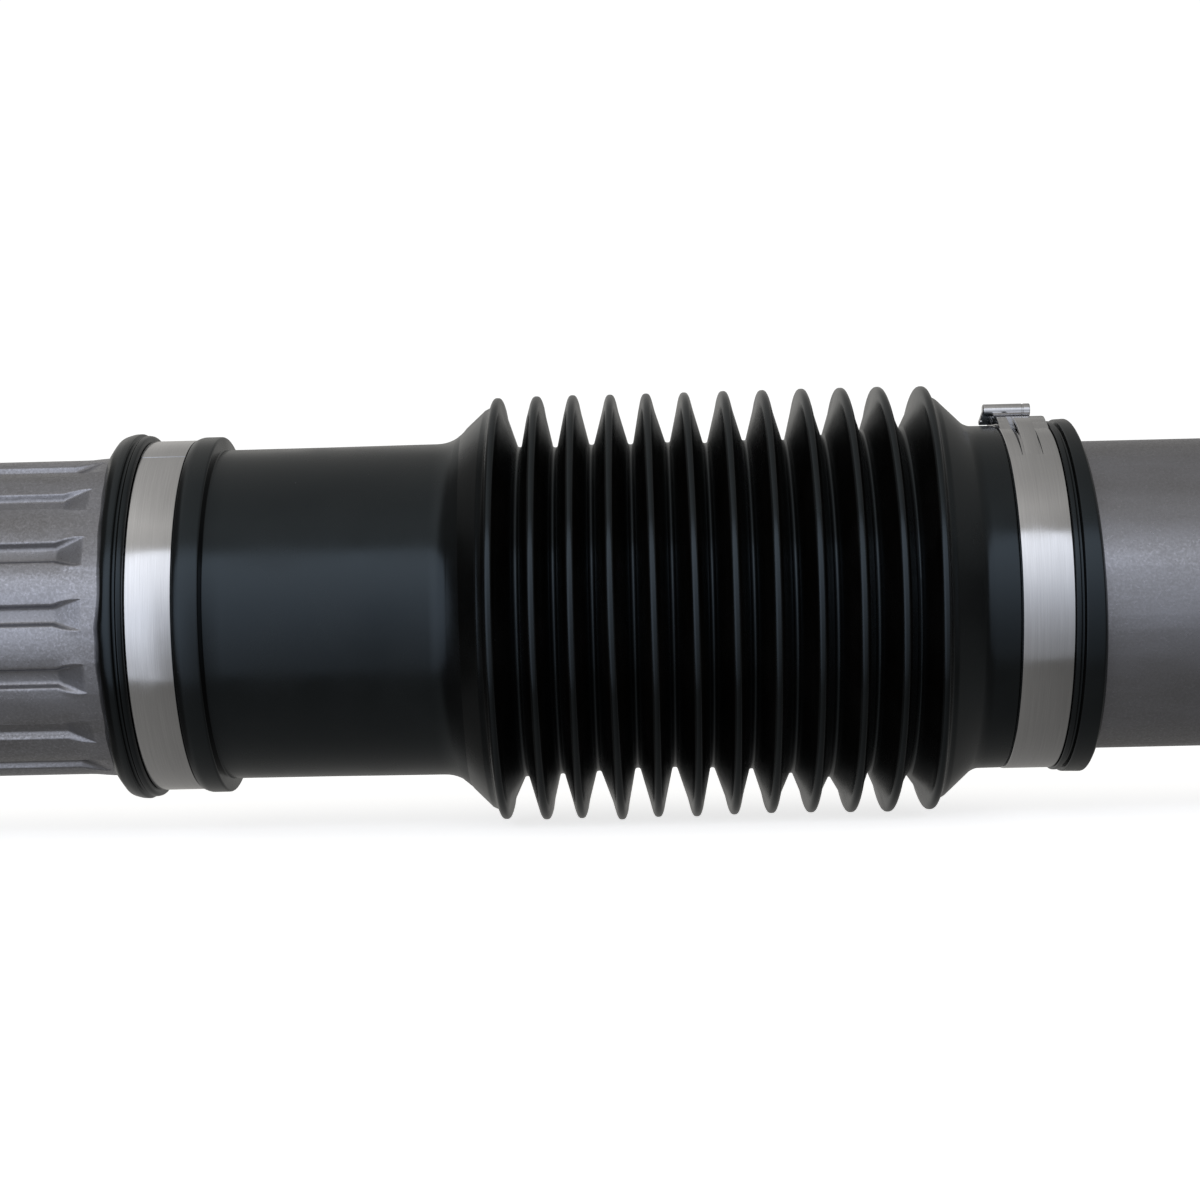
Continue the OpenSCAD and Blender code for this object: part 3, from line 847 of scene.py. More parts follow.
@dataclass(frozen=True)
class SatinRubber:
    """Black moulded rubber with a cool satin sheen."""

    base: Place = (0.0022, 0.0017, 0.0012)
    dust: Place = (0.010, 0.009, 0.008)
    roughness: float = 0.23
    tint: Place = (0.72, 0.88, 1.0)

    def make(self, name: str) -> bpy.types.Material:
        """Builds the material.

        Args:
            name: Name of the material.

        Returns:
            The material.
        """
        s = Shader(name)
        s.set(Roughness=self.roughness, IOR=1.56, Specular_Tint=(*self.tint, 1))
        cloud = s.noise(70, 3, 0.55)
        fine = s.noise(1500, 3, 0.6)
        specks = s.ramp(s.spots(420), [(0.02, 1.0), (0.055, 0.0)])
        rare = s.ramp(s.noise(160, 2), [(0.62, 0.0), (0.68, 1.0)])
        tone = s.mix(s.ramp(cloud, [(0.4, 0.0), (0.75, 0.35)]), self.base, self.dust)
        s.link(s.mix(s.mix(1.0, specks, rare, "MULTIPLY"), tone, (0.10, 0.10, 0.10)), "Base Color")
        s.link(s.ramp(cloud, [(0.3, self.roughness - 0.04), (0.75, self.roughness + 0.08)]), "Roughness")
        s.bump(fine, 0.02, 0.35)
        return s.material


@dataclass(frozen=True)
class BrushedBand:
    """Stainless strip, brushed along its length, which runs around the shaft."""

    base: Place = (0.72, 0.72, 0.73)
    dark: Place = (0.62, 0.62, 0.63)
    roughness: float = 0.15

    def make(self, name: str) -> bpy.types.Material:
        """Builds the material.

        Args:
            name: Name of the material.

        Returns:
            The material.
        """
        s = Shader(name)
        s.set(Metallic=1.0, Roughness=self.roughness)
        lines = s.noise(60, 5, 0.7, (90, 1, 1))
        wide = s.noise(60, 3, 0.5, (12, 1, 1))
        smear = s.noise(170, 3, 0.5)
        tone = s.mix(s.ramp(lines, [(0.35, 0.0), (0.65, 1.0)]), self.dark, self.base)
        tone = s.mix(s.ramp(wide, [(0.35, 0.35), (0.7, 0.0)]), tone, self.dark)
        s.link(tone, "Base Color")
        s.link(s.ramp(smear, [(0.3, self.roughness - 0.03), (0.75, self.roughness + 0.06)]), "Roughness")
        s.bump(lines, 0.012, 0.5)
        return s.material


@dataclass(frozen=True)
class ForgedScale:
    """Forging with dark scale, and bare steel where it was machined."""

    base: Place = (0.055, 0.055, 0.058)
    brown: Place = (0.085, 0.070, 0.058)
    roughness: float = 0.55

    def make(self, name: str) -> bpy.types.Material:
        """Builds the material.

        Args:
            name: Name of the material.

        Returns:
            The material.
        """
        s = Shader(name)
        s.set(Metallic=0.85, Roughness=self.roughness)
        cloud = s.noise(45, 4, 0.6)
        pits = s.noise(420, 4, 0.65)
        bare = s.ramp(s.attribute(MACHINED), [(0.42, 0.0), (0.58, 1.0)])
        tone = s.mix(s.ramp(cloud, [(0.4, 0.0), (0.7, 1.0)]), self.base, self.brown)
        tone = s.mix(s.ramp(pits, [(0.5, 0.0), (0.75, 0.5)]), tone, (0.14, 0.14, 0.145))
        cut = s.mix(s.ramp(pits, [(0.35, 0.0), (0.7, 1.0)]), (0.40, 0.40, 0.41), (0.50, 0.50, 0.51))
        s.link(s.mix(bare, tone, cut), "Base Color")
        rough = s.ramp(pits, [(0.3, self.roughness + 0.12), (0.7, self.roughness - 0.12)])
        s.link(s.mix(bare, rough, (0.3, 0.3, 0.3)), "Roughness")
        relief = s.mix(bare, pits, (0.5, 0.5, 0.5))
        s.bump(relief, 0.12, 0.5)
        s.bump(s.mix(bare, cloud, (0.5, 0.5, 0.5)), 0.25, 0.3)
        return s.material


@dataclass(frozen=True)
class GroundSteel:
    """Bare machined steel."""

    base: Place = (0.42, 0.42, 0.43)
    roughness: float = 0.28
    grain: float = 900

    def make(self, name: str) -> bpy.types.Material:
        """Builds the material.

        Args:
            name: Name of the material.

        Returns:
            The material.
        """
        s = Shader(name)
        s.set(Metallic=1.0, Roughness=self.roughness)
        fine = s.noise(self.grain, 3, 0.6)
        cloud = s.noise(90, 3, 0.5)
        dark = tuple(c * 0.72 for c in self.base)
        s.link(s.mix(s.ramp(cloud, [(0.35, 0.0), (0.7, 1.0)]), dark, self.base), "Base Color")
        s.link(s.ramp(fine, [(0.3, self.roughness - 0.06), (0.7, self.roughness + 0.1)]), "Roughness")
        s.bump(fine, 0.012, 0.4)
        return s.material


@dataclass(frozen=True)
class MouldedPlastic:
    """Moulded plastic with a faint grain."""

    base: Place = (0.55, 0.50, 0.40)
    roughness: float = 0.45

    def make(self, name: str) -> bpy.types.Material:
        """Builds the material.

        Args:
            name: Name of the material.

        Returns:
            The material.
        """
        s = Shader(name)
        s.set(Roughness=self.roughness)
        cloud = s.noise(200, 3, 0.5)
        pale = tuple(min(1.0, c * 1.2) for c in self.base)
        s.link(s.mix(s.ramp(cloud, [(0.35, 0.0), (0.7, 1.0)]), self.base, pale), "Base Color")
        s.bump(cloud, 0.02, 0.3)
        return s.material


class Finishes:
    """All materials of the part by slot."""

    def __init__(self) -> None:
        """Builds every material once."""
        self.by_slot = {
            Slot.TUBE: BlastedTube().make("blasted_tube"),
            Slot.PLUG: GroundSteel(base=(0.30, 0.30, 0.31), roughness=0.38).make("pressed_plug"),
            Slot.BOOT: SatinRubber().make("satin_rubber"),
            Slot.BAND: BrushedBand().make("brushed_band"),
            Slot.FORGED: ForgedScale().make("forged_scale"),
            Slot.WELD: GroundSteel(base=(0.30, 0.29, 0.28), roughness=0.42).make("weld_metal"),
            Slot.CROSS: GroundSteel(base=(0.16, 0.16, 0.165), roughness=0.45).make("cross_forging"),
            Slot.CUP: GroundSteel(base=(0.50, 0.50, 0.51), roughness=0.22).make("ground_cup"),
            Slot.WASHER: MouldedPlastic().make("washer_plastic"),
            Slot.SPRING: GroundSteel(base=(0.12, 0.12, 0.13), roughness=0.35).make("spring_steel"),
            Slot.SEAL: SatinRubber(roughness=0.5).make("seal_rubber"),
            Slot.FITTING: GroundSteel(base=(0.62, 0.50, 0.24), roughness=0.30).make("zinc_fitting"),
        }

    def dress(self, obj: bpy.types.Object, slot: Slot) -> None:
        """Gives a piece the material of its slot.

        Args:
            obj: The piece.
            slot: Its slot.
        """
        obj.data.materials.clear()
        obj.data.materials.append(self.by_slot[slot])

    def dress_node(self, node: str, slot: Slot) -> None:
        """Gives a CAD node its material.

        Args:
            node: Name of the node.
            slot: Its slot.
        """
        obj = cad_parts[node]
        if not obj.material_slots:
            obj.data.materials.append(self.by_slot[slot])
        for place in obj.material_slots:
            place.material = self.by_slot[slot]


# Pieces


@dataclass
class Studio:
    """Camera of the photograph, pale floor and backdrop, and soft lights."""

    lens: float = 71.07
    camera_place: Place = (0.39897, -0.49205, 0.0)
    yaw_deg: float = 1.020
    pitch_deg: float = 0.137
    roll_deg: float = 1.327
    floor_z: float = -0.0445
    # Glow of the floor near the part, under the full 1: a painted shadow around it.
    painted_shadow_glow: float = 0.78
    # Distances in metres over which the painted shadow fades out.
    painted_shadow_reach: Point = (0.45, 1.6)
    room_x: float = 0.38
    floor_r: float = 8.0
    dome_r: float = 7.9
    dome_glow: float = 1.05
    tint: Place = (0.84, 0.89, 1.0)
    warm: Place = (1.326, 1.3, 1.248)
    box_y: float = -0.9
    box_span: Point = (-42.0, 41.4)
    box_sides: Point = (-1.1, 1.9)
    box_glow: float = 1.1
    box_change: Point = (0.1, 0.22)
    sky_change: Point = (-0.15, 0.2)
    left_fade: Points = ((0.0, 0.42), (0.17, 0.5), (0.31, 0.7), (0.45, 0.92), (0.57, 0.94), (0.7, 0.94))
    right_fade: Points = ((0.0, 0.12), (0.21, 0.2), (0.37, 0.34), (0.51, 0.54), (0.65, 0.7), (0.82, 0.85))
    front_sky: Points = ((0.0, 0.17), (0.3, 0.13), (0.5, 0.12), (0.8, 0.4), (0.93, 0.5), (1.0, 0.38))
    back_sky: Points = ((0.0, 0.17), (0.3, 0.26), (0.5, 0.40), (0.68, 0.44), (0.85, 0.33), (1.0, 0.38))
    side_sky: Points = ((0.0, 0.2), (0.2, 0.27), (0.27, 0.9), (0.29, 0.96), (0.75, 0.5))

    def camera(self) -> None:
        """Makes the camera."""
        data = bpy.data.cameras.new("photo_camera")
        data.lens = self.lens
        data.sensor_width = 36
        data.clip_start = 0.01
        data.clip_end = 50
        camera = bpy.data.objects.new("photo_camera", data)
        camera.location = self.camera_place
        aim = Matrix.Rotation(math.radians(self.yaw_deg), 3, "Z")
        aim = aim @ Matrix.Rotation(math.radians(90 + self.pitch_deg), 3, "X")
        aim = aim @ Matrix.Rotation(-math.radians(self.roll_deg), 3, "Z")
        camera.rotation_euler = aim.to_euler()
        bpy.context.scene.collection.objects.link(camera)
        bpy.context.scene.camera = camera

    @staticmethod
    def glow(name: str, colour: Place, strength: float) -> bpy.types.Material:
        """Makes a material that only shines.

        Args:
            name: Name of the material.
            colour: Its colour.
            strength: Its brightness.

        Returns:
            The material.
        """
        material = bpy.data.materials.new(name)
        material.use_nodes = True
        tree = material.node_tree
        tree.nodes.clear()
        out = tree.nodes.new("ShaderNodeOutputMaterial")
        shine = tree.nodes.new("ShaderNodeEmission")
        shine.inputs["Color"].default_value = (*colour, 1)
        shine.inputs["Strength"].default_value = strength
        tree.links.new(shine.outputs[0], out.inputs["Surface"])
        return material

    def room(self) -> None:
        """Makes the floor, whose glow is dimmer near the part as a painted shadow, and the backdrop."""
        BENCH.clear()
        bpy.ops.mesh.primitive_circle_add(
            vertices=96, radius=self.floor_r, fill_type="NGON",
            location=(self.room_x, 0, self.floor_z - 0.00005))
        floor = bpy.context.active_object
        floor.name = "floor"
        paint = bpy.data.materials.new("floor_paint")
        paint.use_nodes = True
        shader = paint.node_tree.nodes["Principled BSDF"]
        shader.inputs["Base Color"].default_value = (0.9, 0.9, 0.9, 1)
        shader.inputs["Roughness"].default_value = 0.9
        shader.inputs["Specular IOR Level"].default_value = 0.0
        shader.inputs["Emission Color"].default_value = (1, 1, 1, 1)
        nodes, links = paint.node_tree.nodes, paint.node_tree.links
        place = nodes.new("ShaderNodeTexCoord")
        far = nodes.new("ShaderNodeVectorMath")
        far.operation = "LENGTH"
        # Painted shadow: the floor glows less near the part and fully further away.
        fade = self.span(nodes, *self.painted_shadow_reach, self.painted_shadow_glow)
        links.new(place.outputs["Object"], far.inputs[0])
        links.new(far.outputs["Value"], fade.inputs["Value"])
        links.new(fade.outputs["Result"], shader.inputs["Emission Strength"])
        floor.data.materials.append(paint)
        BENCH.clear()
        bpy.ops.mesh.primitive_uv_sphere_add(
            segments=64, ring_count=32, radius=self.dome_r, location=(self.room_x, 0, 0))
        dome = bpy.context.active_object
        dome.name = "backdrop"
        dome.data.materials.append(self.glow("backdrop_white", (1, 1, 1), self.dome_glow))
        for obj in (floor, dome):
            obj.visible_glossy = False
            obj.visible_diffuse = False
            obj.visible_transmission = False
            obj.visible_shadow = False

    @staticmethod
    def panel(name: str, centre: Place, aim: Place, size: Point, watts: float,
              tint: Place) -> bpy.types.AreaLight:
        """Adds a soft rectangular light.

        Args:
            name: Name of the light.
            centre: Its place.
            aim: The point that it faces.
            size: Width and height.
            watts: Power.
            tint: Colour.

        Returns:
            The light's data.
        """
        data = bpy.data.lights.new(name, "AREA")
        data.shape = "RECTANGLE"
        data.size, data.size_y = size
        data.energy = watts
        data.color = tint
        light = bpy.data.objects.new(name, data)
        light.location = centre
        light.rotation_euler = (Vector(aim) - Vector(centre)).to_track_quat("-Z", "Y").to_euler()
        light.visible_camera = False
        bpy.context.scene.collection.objects.link(light)
        return data

    @staticmethod
    def fade(nodes: bpy.types.Nodes, tones: Sequence[Point], tint: Place = (1, 1, 1)) -> bpy.types.Node:
        """Adds a ramp of tones.

        Args:
            nodes: The tree's nodes.
            tones: Positions and brightnesses.
            tint: Colour of the brightest tone.

        Returns:
            The node.
        """
        node = nodes.new("ShaderNodeValToRGB")
        elements = node.color_ramp.elements
        while len(elements) < len(tones):
            elements.new(0.5)
        for element, (position, grey) in zip(elements, tones):
            element.position = position
            element.color = (grey * tint[0], grey * tint[1], grey * tint[2], 1)
        return node

    @staticmethod
    def span(nodes: bpy.types.Nodes, low: float, high: float, start: float = 0.0) -> bpy.types.Node:
        """Adds a node that maps a span of values to the span from start to 1.

        Args:
            nodes: The tree's nodes.
            low: Value that gives start.
            high: Value that gives 1.
            start: Lowest result.

        Returns:
            The node.
        """
        node = nodes.new("ShaderNodeMapRange")
        for key, value in (("From Min", low), ("From Max", high), ("To Min", start), ("To Max", 1.0)):
            node.inputs[key].default_value = value
        return node

    def sky(self) -> None:
        """Makes the light of the room: other tones in front, behind and beside the part."""
        world = bpy.data.worlds.new("studio")
        world.use_nodes = True
        nodes, links = world.node_tree.nodes, world.node_tree.links
        place = nodes.new("ShaderNodeTexCoord")
        split = nodes.new("ShaderNodeSeparateXYZ")
        height = self.span(nodes, -1, 1)
        behind = self.span(nodes, *self.sky_change)
        across, side = self.span(nodes, -1, 1), self.fade(nodes, self.side_sky)
        front, back = (self.fade(nodes, tones, self.warm) for tones in (self.front_sky, self.back_sky))
        mix = nodes.new("ShaderNodeMix")
        mix.data_type = "RGBA"
        links.new(place.outputs["Generated"], split.inputs[0])
        for axis, node in (("X", across), ("Y", behind), ("Z", height)):
            links.new(split.outputs[axis], node.inputs["Value"])
        for ramp in (front, back):
            links.new(height.outputs["Result"], ramp.inputs["Fac"])
        links.new(behind.outputs["Result"], mix.inputs[0])
        links.new(front.outputs["Color"], mix.inputs[6])
        links.new(back.outputs["Color"], mix.inputs[7])
        links.new(mix.outputs[2], nodes["Background"].inputs["Color"])
        links.new(across.outputs["Result"], side.inputs["Fac"])
        links.new(side.outputs["Color"], nodes["Background"].inputs["Strength"])
        bpy.context.scene.world = world

    def softbox(self) -> None:
        """Adds the large soft light behind the camera, which fades downwards and more so on the right."""
        low, high = (-self.box_y * math.tan(math.radians(angle)) for angle in self.box_span)
        left, right = self.box_sides
        centre = ((left + right) / 2, self.box_y, (low + high) / 2)
        size = (right - left, high - low)
        data = self.panel("softbox", centre, (centre[0], 0, centre[2]), size,
                          math.pi * size[0] * size[1] * self.box_glow, self.tint)
        data.use_nodes = True
        nodes, links = data.node_tree.nodes, data.node_tree.links
        surface = nodes.new("ShaderNodeNewGeometry")
        split = nodes.new("ShaderNodeSeparateXYZ")
        height, side = self.span(nodes, low, high), self.span(nodes, *self.box_change)
        left_tones, right_tones = self.fade(nodes, self.left_fade), self.fade(nodes, self.right_fade)
        mix = nodes.new("ShaderNodeMix")
        mix.data_type = "RGBA"
        links.new(surface.outputs["Position"], split.inputs[0])
        links.new(split.outputs["Z"], height.inputs["Value"])
        links.new(split.outputs["X"], side.inputs["Value"])
        for ramp in (left_tones, right_tones):
            links.new(height.outputs["Result"], ramp.inputs["Fac"])
        links.new(side.outputs["Result"], mix.inputs[0])
        links.new(left_tones.outputs["Color"], mix.inputs[6])
        links.new(right_tones.outputs["Color"], mix.inputs[7])
        links.new(mix.outputs[2], nodes["Emission"].inputs["Color"])

    def build(self) -> None:
        """Makes everything but the part."""
        self.camera()
        self.room()
        self.sky()
        self.softbox()
        bpy.context.scene.view_settings.view_transform = "Standard"


@dataclass
class Spline:
    """Section of the formed splines, which a station of a tube takes at its own depth."""

    count: int = 16
    turn: float = 89.0
    outer_r: float = 32.85
    lobe_r: float = 14.0
    crown_drop: float = 0.08
    floor_r: float = 31.0
    floor_half: float = 1.45
    lean: float = 25.0
    widen: float = 1.58
    end_lean: float = 56.0
    edge_r: float = 0.85
    foot_r: float = 0.8
    crown_steps: int = 5

    @property
    def half_pitch(self) -> float:
        """Half of the angle from one groove to the next, in degrees."""
        return 180 / self.count

    def crown_at(self, angle: float, inset: float) -> float:
        """Gives the shape of the crown.

        Args:
            angle: Degrees from the groove's middle.
            inset: Depth below the outer tube's surface.

        Returns:
            The crown's radius there.
        """
        off = math.radians(self.half_pitch - angle)
        centre = self.outer_r - self.lobe_r
        lobe = self.lobe_r - self.crown_drop - inset
        return centre * math.cos(off) + math.sqrt(max(0.0, lobe**2 - (centre * math.sin(off)) ** 2))

    def half_section(self, inset: float, fade: float, widen: bool) -> list[Point]:
        """Half of one spline's section, from the groove's middle to the crown's.

        Args:
            inset: Depth below the outer tube's surface.
            fade: 0 where the groove is full, 1 where the tube is plain.
            widen: Whether the floor widens as it rises.

        Returns:
            Points as (angle in degrees from the groove's middle, radius).
        """
        plain = self.outer_r - inset
        ease = smoothstep(fade)

        def surface(angle: float) -> float:
            """Radius of the crown or of the plain tube."""
            return self.crown_at(angle, inset) * (1 - ease) + plain * ease

        lean = math.tan(math.radians(self.lean))
        slant = inset / math.cos(math.radians(self.lean))
        floor = self.floor_r - inset + (self.outer_r - self.floor_r) * fade
        half = self.floor_half + (floor - self.floor_r) * lean + slant
        if widen:
            half = self.floor_half - inset * lean + slant + self.widen * fade
            lean = lean + (math.tan(math.radians(self.end_lean)) - lean) * fade
        top = surface(4.0)
        for _ in range(6):
            top_half = half + max(0.0, top - floor) * lean
            top = surface(math.degrees(math.atan2(top_half, top)))
        floor = min(floor, top)
        top_half = half + max(0.0, top - floor) * lean
        edge = math.degrees(math.atan2(top_half, top))
        crown_w = self.half_pitch - edge
        crown = [edge + crown_w * k / self.crown_steps for k in range(1, self.crown_steps + 1)]
        first = math.radians(crown[0])
        corner = [
            (0.0, floor), (half, floor, self.foot_r, 4), (top_half, top, self.edge_r, 4),
            (surface(crown[0]) * math.sin(first), surface(crown[0]) * math.cos(first))
        ]
        made = []
        for w, h in rounded(corner)[:-1]:
            made.append((math.degrees(math.atan2(w, h)), math.hypot(w, h)))
        made += [(angle, surface(angle)) for angle in crown]
        if fade >= 1:
            made = [(angle, plain) for angle, _ in made]
        return made

    def section(self, x: float, inset: float, fade: float, widen: bool,
                radius: float | None = None) -> list[Place]:
        """Section of one spline, from crown to crown.

        Args:
            x: Place along the shaft.
            inset: Depth below the outer tube's surface.
            fade: 0 where the groove is full, 1 where the tube is plain.
            widen: Whether the floor widens as it rises.
            radius: Radius of a plain section, where it isn't the tube's own.

        Returns:
            Points in millimetres.
        """
        half = self.half_section(inset, fade, widen)
        if radius is not None:
            half = [(angle, radius) for angle, _ in half]
        both = [(-angle, r) for angle, r in reversed(half)] + half[1:]
        return [(x, *around(self.turn + angle, r)) for angle, r in both]


@dataclass
class SlipTubes:
    """Outer and inner tube of the slip joint."""

    spline: Spline = field(default_factory=Spline)
    outer_start: float = 84.5
    outer_end: float = 318.0
    spline_start: float = 155.5
    spline_end: float = 289.9
    run_out: float = 6.0
    wall: float = 2.2
    nose_inset: float = 2.36
    nose_wall: float = 2.1
    nose_start: float = 165.0
    nose_end: float = 410.0
    cone_end: float = 427.8
    inner_end: float = 675.5
    inner_r: float = 31.75
    inner_bore_r: float = 29.65

    def stations_tube(self, name: str, stations: Sequence[list[Place]]) -> bpy.types.Object:
        """Builds a splined tube: one sector is extruded from station to station, then copied around.

        Args:
            name: Name of the piece.
            stations: Sections of one sector, in a closed round.

        Returns:
            The object.
        """
        BENCH.line(name, stations[0])
        here = stations[0]
        for section in list(stations[1:]) + [stations[0]]:
            BENCH.extrude((section[0][0] - here[0][0], 0, 0))
            BENCH.place(section)
            here = section
        BENCH.merge()
        BENCH.copies(self.spline.count)
        BENCH.merge(0.004)
        BENCH.outward()
        return BENCH.finish(smooth_deg=28)

    def outer(self) -> bpy.types.Object:
        """Builds the outer tube.

        Returns:
            The object.
        """
        s, r0, bore = self.spline, self.spline.outer_r, self.spline.outer_r - self.wall - 0.1
        full_start, full_end = self.spline_start + self.run_out, self.spline_end - self.run_out
        outside = [s.section(self.outer_start, 0, 1, True, r0 - 0.3)]
        plain_x = (self.outer_start + 0.4, 100, 120, 140, self.spline_start)
        outside += [s.section(x, 0, 1, True) for x in plain_x]
        steps = 12
        for k in range(1, steps + 1):
            outside.append(s.section(self.spline_start + self.run_out * k / steps, 0, 1 - k / steps, True))
        for k in range(1, steps + 1):
            outside.append(s.section(full_start + (full_end - full_start) * k / steps, 0, 0, True))
        for k in range(1, steps + 1):
            outside.append(s.section(full_end + self.run_out * k / steps, 0, k / steps, True))
        outside += [s.section(x, 0, 1, True) for x in (300, self.outer_end - 0.5)]
        outside += [s.section(self.outer_end, 0, 1, True, r0 - 0.4)]
        inset, steps = self.wall + 0.1, 6
        inside = [s.section(self.outer_end, inset, 1, False, bore + 0.4)]
        inside += [s.section(x, inset, 1, False, bore) for x in (self.outer_end - 0.5, self.spline_end)]
        for k in range(1, steps + 1):
            inside.append(s.section(self.spline_end - self.run_out * k / steps, inset, 1 - k / steps, False))
        for k in range(steps + 1):
            inside.append(s.section(full_start - self.run_out * k / steps, inset, k / steps, False))
        inside += [s.section(self.outer_start, inset, 1, False, bore)]
        return self.stations_tube("outer_slip_tube_formed", outside + inside)

    def inner(self) -> bpy.types.Object:
        """Builds the inner tube.

        Returns:
            The object.
        """
        s, inset, steps = self.spline, self.nose_inset, 6
        full_x = (self.nose_start, self.nose_start + 1, self.nose_end)
        stations = [s.section(x, inset, 0, True) for x in full_x]
        for k in range(1, steps + 1):
            stations.append(s.section(self.nose_end + self.run_out * k / steps, inset, k / steps, True))
        nose_bore = s.floor_r - inset - self.nose_wall
        plain = [(x, self.inner_r) for x in (self.cone_end, 470, 530, 600, self.inner_end - 0.4)]
        plain += [(self.inner_end, self.inner_r - 0.3), (self.inner_end, self.inner_bore_r),
                  (self.cone_end, self.inner_bore_r), (self.nose_end + self.run_out, nose_bore),
                  (self.nose_start, nose_bore)]
        stations += [s.section(x, inset, 1, True, r) for x, r in plain]
        return self.stations_tube("inner_slip_tube_formed", stations)


@dataclass
class Boot:
    """Bellows boot: left cuff, sleeve, folds, right cuff.

    The crest is a fold's outline from its middle outwards. Each valley has its radius at the top and at the
    bottom, and a shift to the right. Each fold leans at its top, middle and bottom, and swells at its top and
    bottom.
    """

    start: float = 290.0
    end: float = 488.6
    steps: int = 180
    left_bore: float = 32.87
    right_bore: float = 31.77
    first_crest: float = 369.3
    pitch: float = 7.92
    folds: int = 12
    crest_c: float = 42.45
    crest: Points = (
        (0.0, 43.88), (0.22, 43.87), (0.45, 43.8), (0.7, 43.6), (0.9, 43.25), (1.06, 42.85), (1.25, 42.2),
        (1.7, 40.2))
    foot_w: float = 3.5
    valleys: tuple[Place, ...] = (
        (33.27, 35.0, 1.2), (33.05, 34.6, 0.6), (33.4, 34.2, 0.2), (33.3, 33.75, 0.3), (33.5, 33.75, 0.0),
        (33.2, 34.0, -0.2), (33.55, 34.4, -0.1), (33.45, 35.5, 0.1), (34.3, 36.5, 0.0), (34.95, 35.85, 0.0),
        (35.45, 36.6, 0.0))
    neck: float = 466.62
    wavy_w: float = 6.0
    right_wavy_x: float = 484.5
    fold_span: Point = (366.0, 461.0)
    fold_foot_r: float = 34.0
    lean: tuple[Place, ...] = (
        (0.85, 0.30, 0.75), (0.95, 0.59, 1.1), (0.44, 0.11, 0.44), (0.23, -0.17, 0.8),
        (-0.29, 0.11, 0.33), (-0.39, 0.21, 0.33), (-0.29, 0.02, 0.12), (-0.19, 0.02, -0.19),
        (-0.08, 0.35, 0.02), (0.02, 0.45, 0.23), (-0.29, 0.45, -0.08), (0.7, 0.15, 0.6))
    swell: Points = (
        (-0.40, -0.15), (-0.23, 0.1), (-0.17, 0.0), (-0.25, 0.45), (-0.2, 0.08), (-0.17, 0.15),
        (-0.08, -0.08), (-0.08, -0.2), (0.0, -0.17), (0.0, -0.04), (0.0, 0.0), (-0.1, -0.3))

    def outside(self) -> Profile:
        """Outer outline from the left open end to the right one.

        Returns:
            The outline.
        """
        x, e = self.start, self.end
        made = rounded([
            (x, self.left_bore), (x + 0.9, 35.3, 0.8), (x + 2.6, 37.2, 1.0), (x + 5.2, 37.82, 1.0),
            (x + 6.45, 37.85, 0.25), (x + 6.7, 37.15, 0.15, 2), (x + 7.2, 37.15, 0.15, 2),
            (x + 7.45, 37.5, 0.25), (x + 8.35, 37.35, 0.3), (x + 8.6, 36.8, 0.2), (x + 8.65, 35.45),
            (307.9, 35.45), (307.95, 36.3, 0.3), (309.2, 36.85, 0.6), (313.2, 36.85, 0.5),
            (313.45, 34.1, 0.2, 3), (317, 34.1), (322, 34.12), (335, 34.15), (350, 34.25),
            (361.3, 34.3, 6.0, 8), (366.7, 41.35, 0.35), (367.75, 41.85, 0.3, 2),
        ])
        for i in range(self.folds):
            crest = self.first_crest + i * self.pitch
            before, after = self.crest[1:], self.crest
            if i == 0:
                before = self.crest[1:-1]
            if i == self.folds - 1:
                after = self.crest[:-1]
            made += [(crest - dx, r) for dx, r in reversed(before)] + [(crest + dx, r) for dx, r in after]
            if i < self.folds - 1:
                top, bottom, shift = self.valleys[i]
                root_r = (top + bottom) / 2
                root, next_root = crest + self.foot_w + shift, crest + self.pitch - self.foot_w + shift
                made += rounded([made[-1], (root, root_r, 0.5, 3), (next_root, root_r, 0.5, 3),
                                 (next_root + 2, root_r + 8)])[1:-1]
        made += rounded([
            made[-1], (457.97, 41.85, 0.3, 2), (459.0, 41.3, 0.35), (465.2, 35.95, 2.0, 6),
            (self.neck, 35.35, 0.8), (471.82, 35.3, 0.25), (472.12, 34.75), (482.32, 34.75),
            (482.38, 35.95, 0.2), (483.35, 36.0, 0.25), (483.5, 35.2, 0.15, 2), (484.0, 35.2, 0.15, 2),
            (484.2, 36.3, 0.3), (487.4, 36.4, 0.35), (488.0, 35.3, 0.4), (e, 32.4, 0.3), (e, self.right_bore)
        ])[1:]
        return made

    def inside(self) -> Profile:
        """Inner outline from the right open end back to the left one.

        Returns:
            The outline.
        """
        made = [(self.end, self.right_bore), (467.02, self.right_bore), (464.22, 32.4)]
        for i in reversed(range(self.folds)):
            x = self.first_crest + i * self.pitch
            fold = [(x + 2.67, 32.4), *reversed(arc((x, self.crest_c), 0.2, -76, 76, 4)), (x - 2.67, 32.4)]
            if i == self.folds - 1:
                fold = fold[1:]
            if i == 0:
                fold = fold[:-1]
            made += fold
        made += [(358.8, 33.25), (322, 32.9), (320, self.left_bore), (self.start, self.left_bore)]
        return made

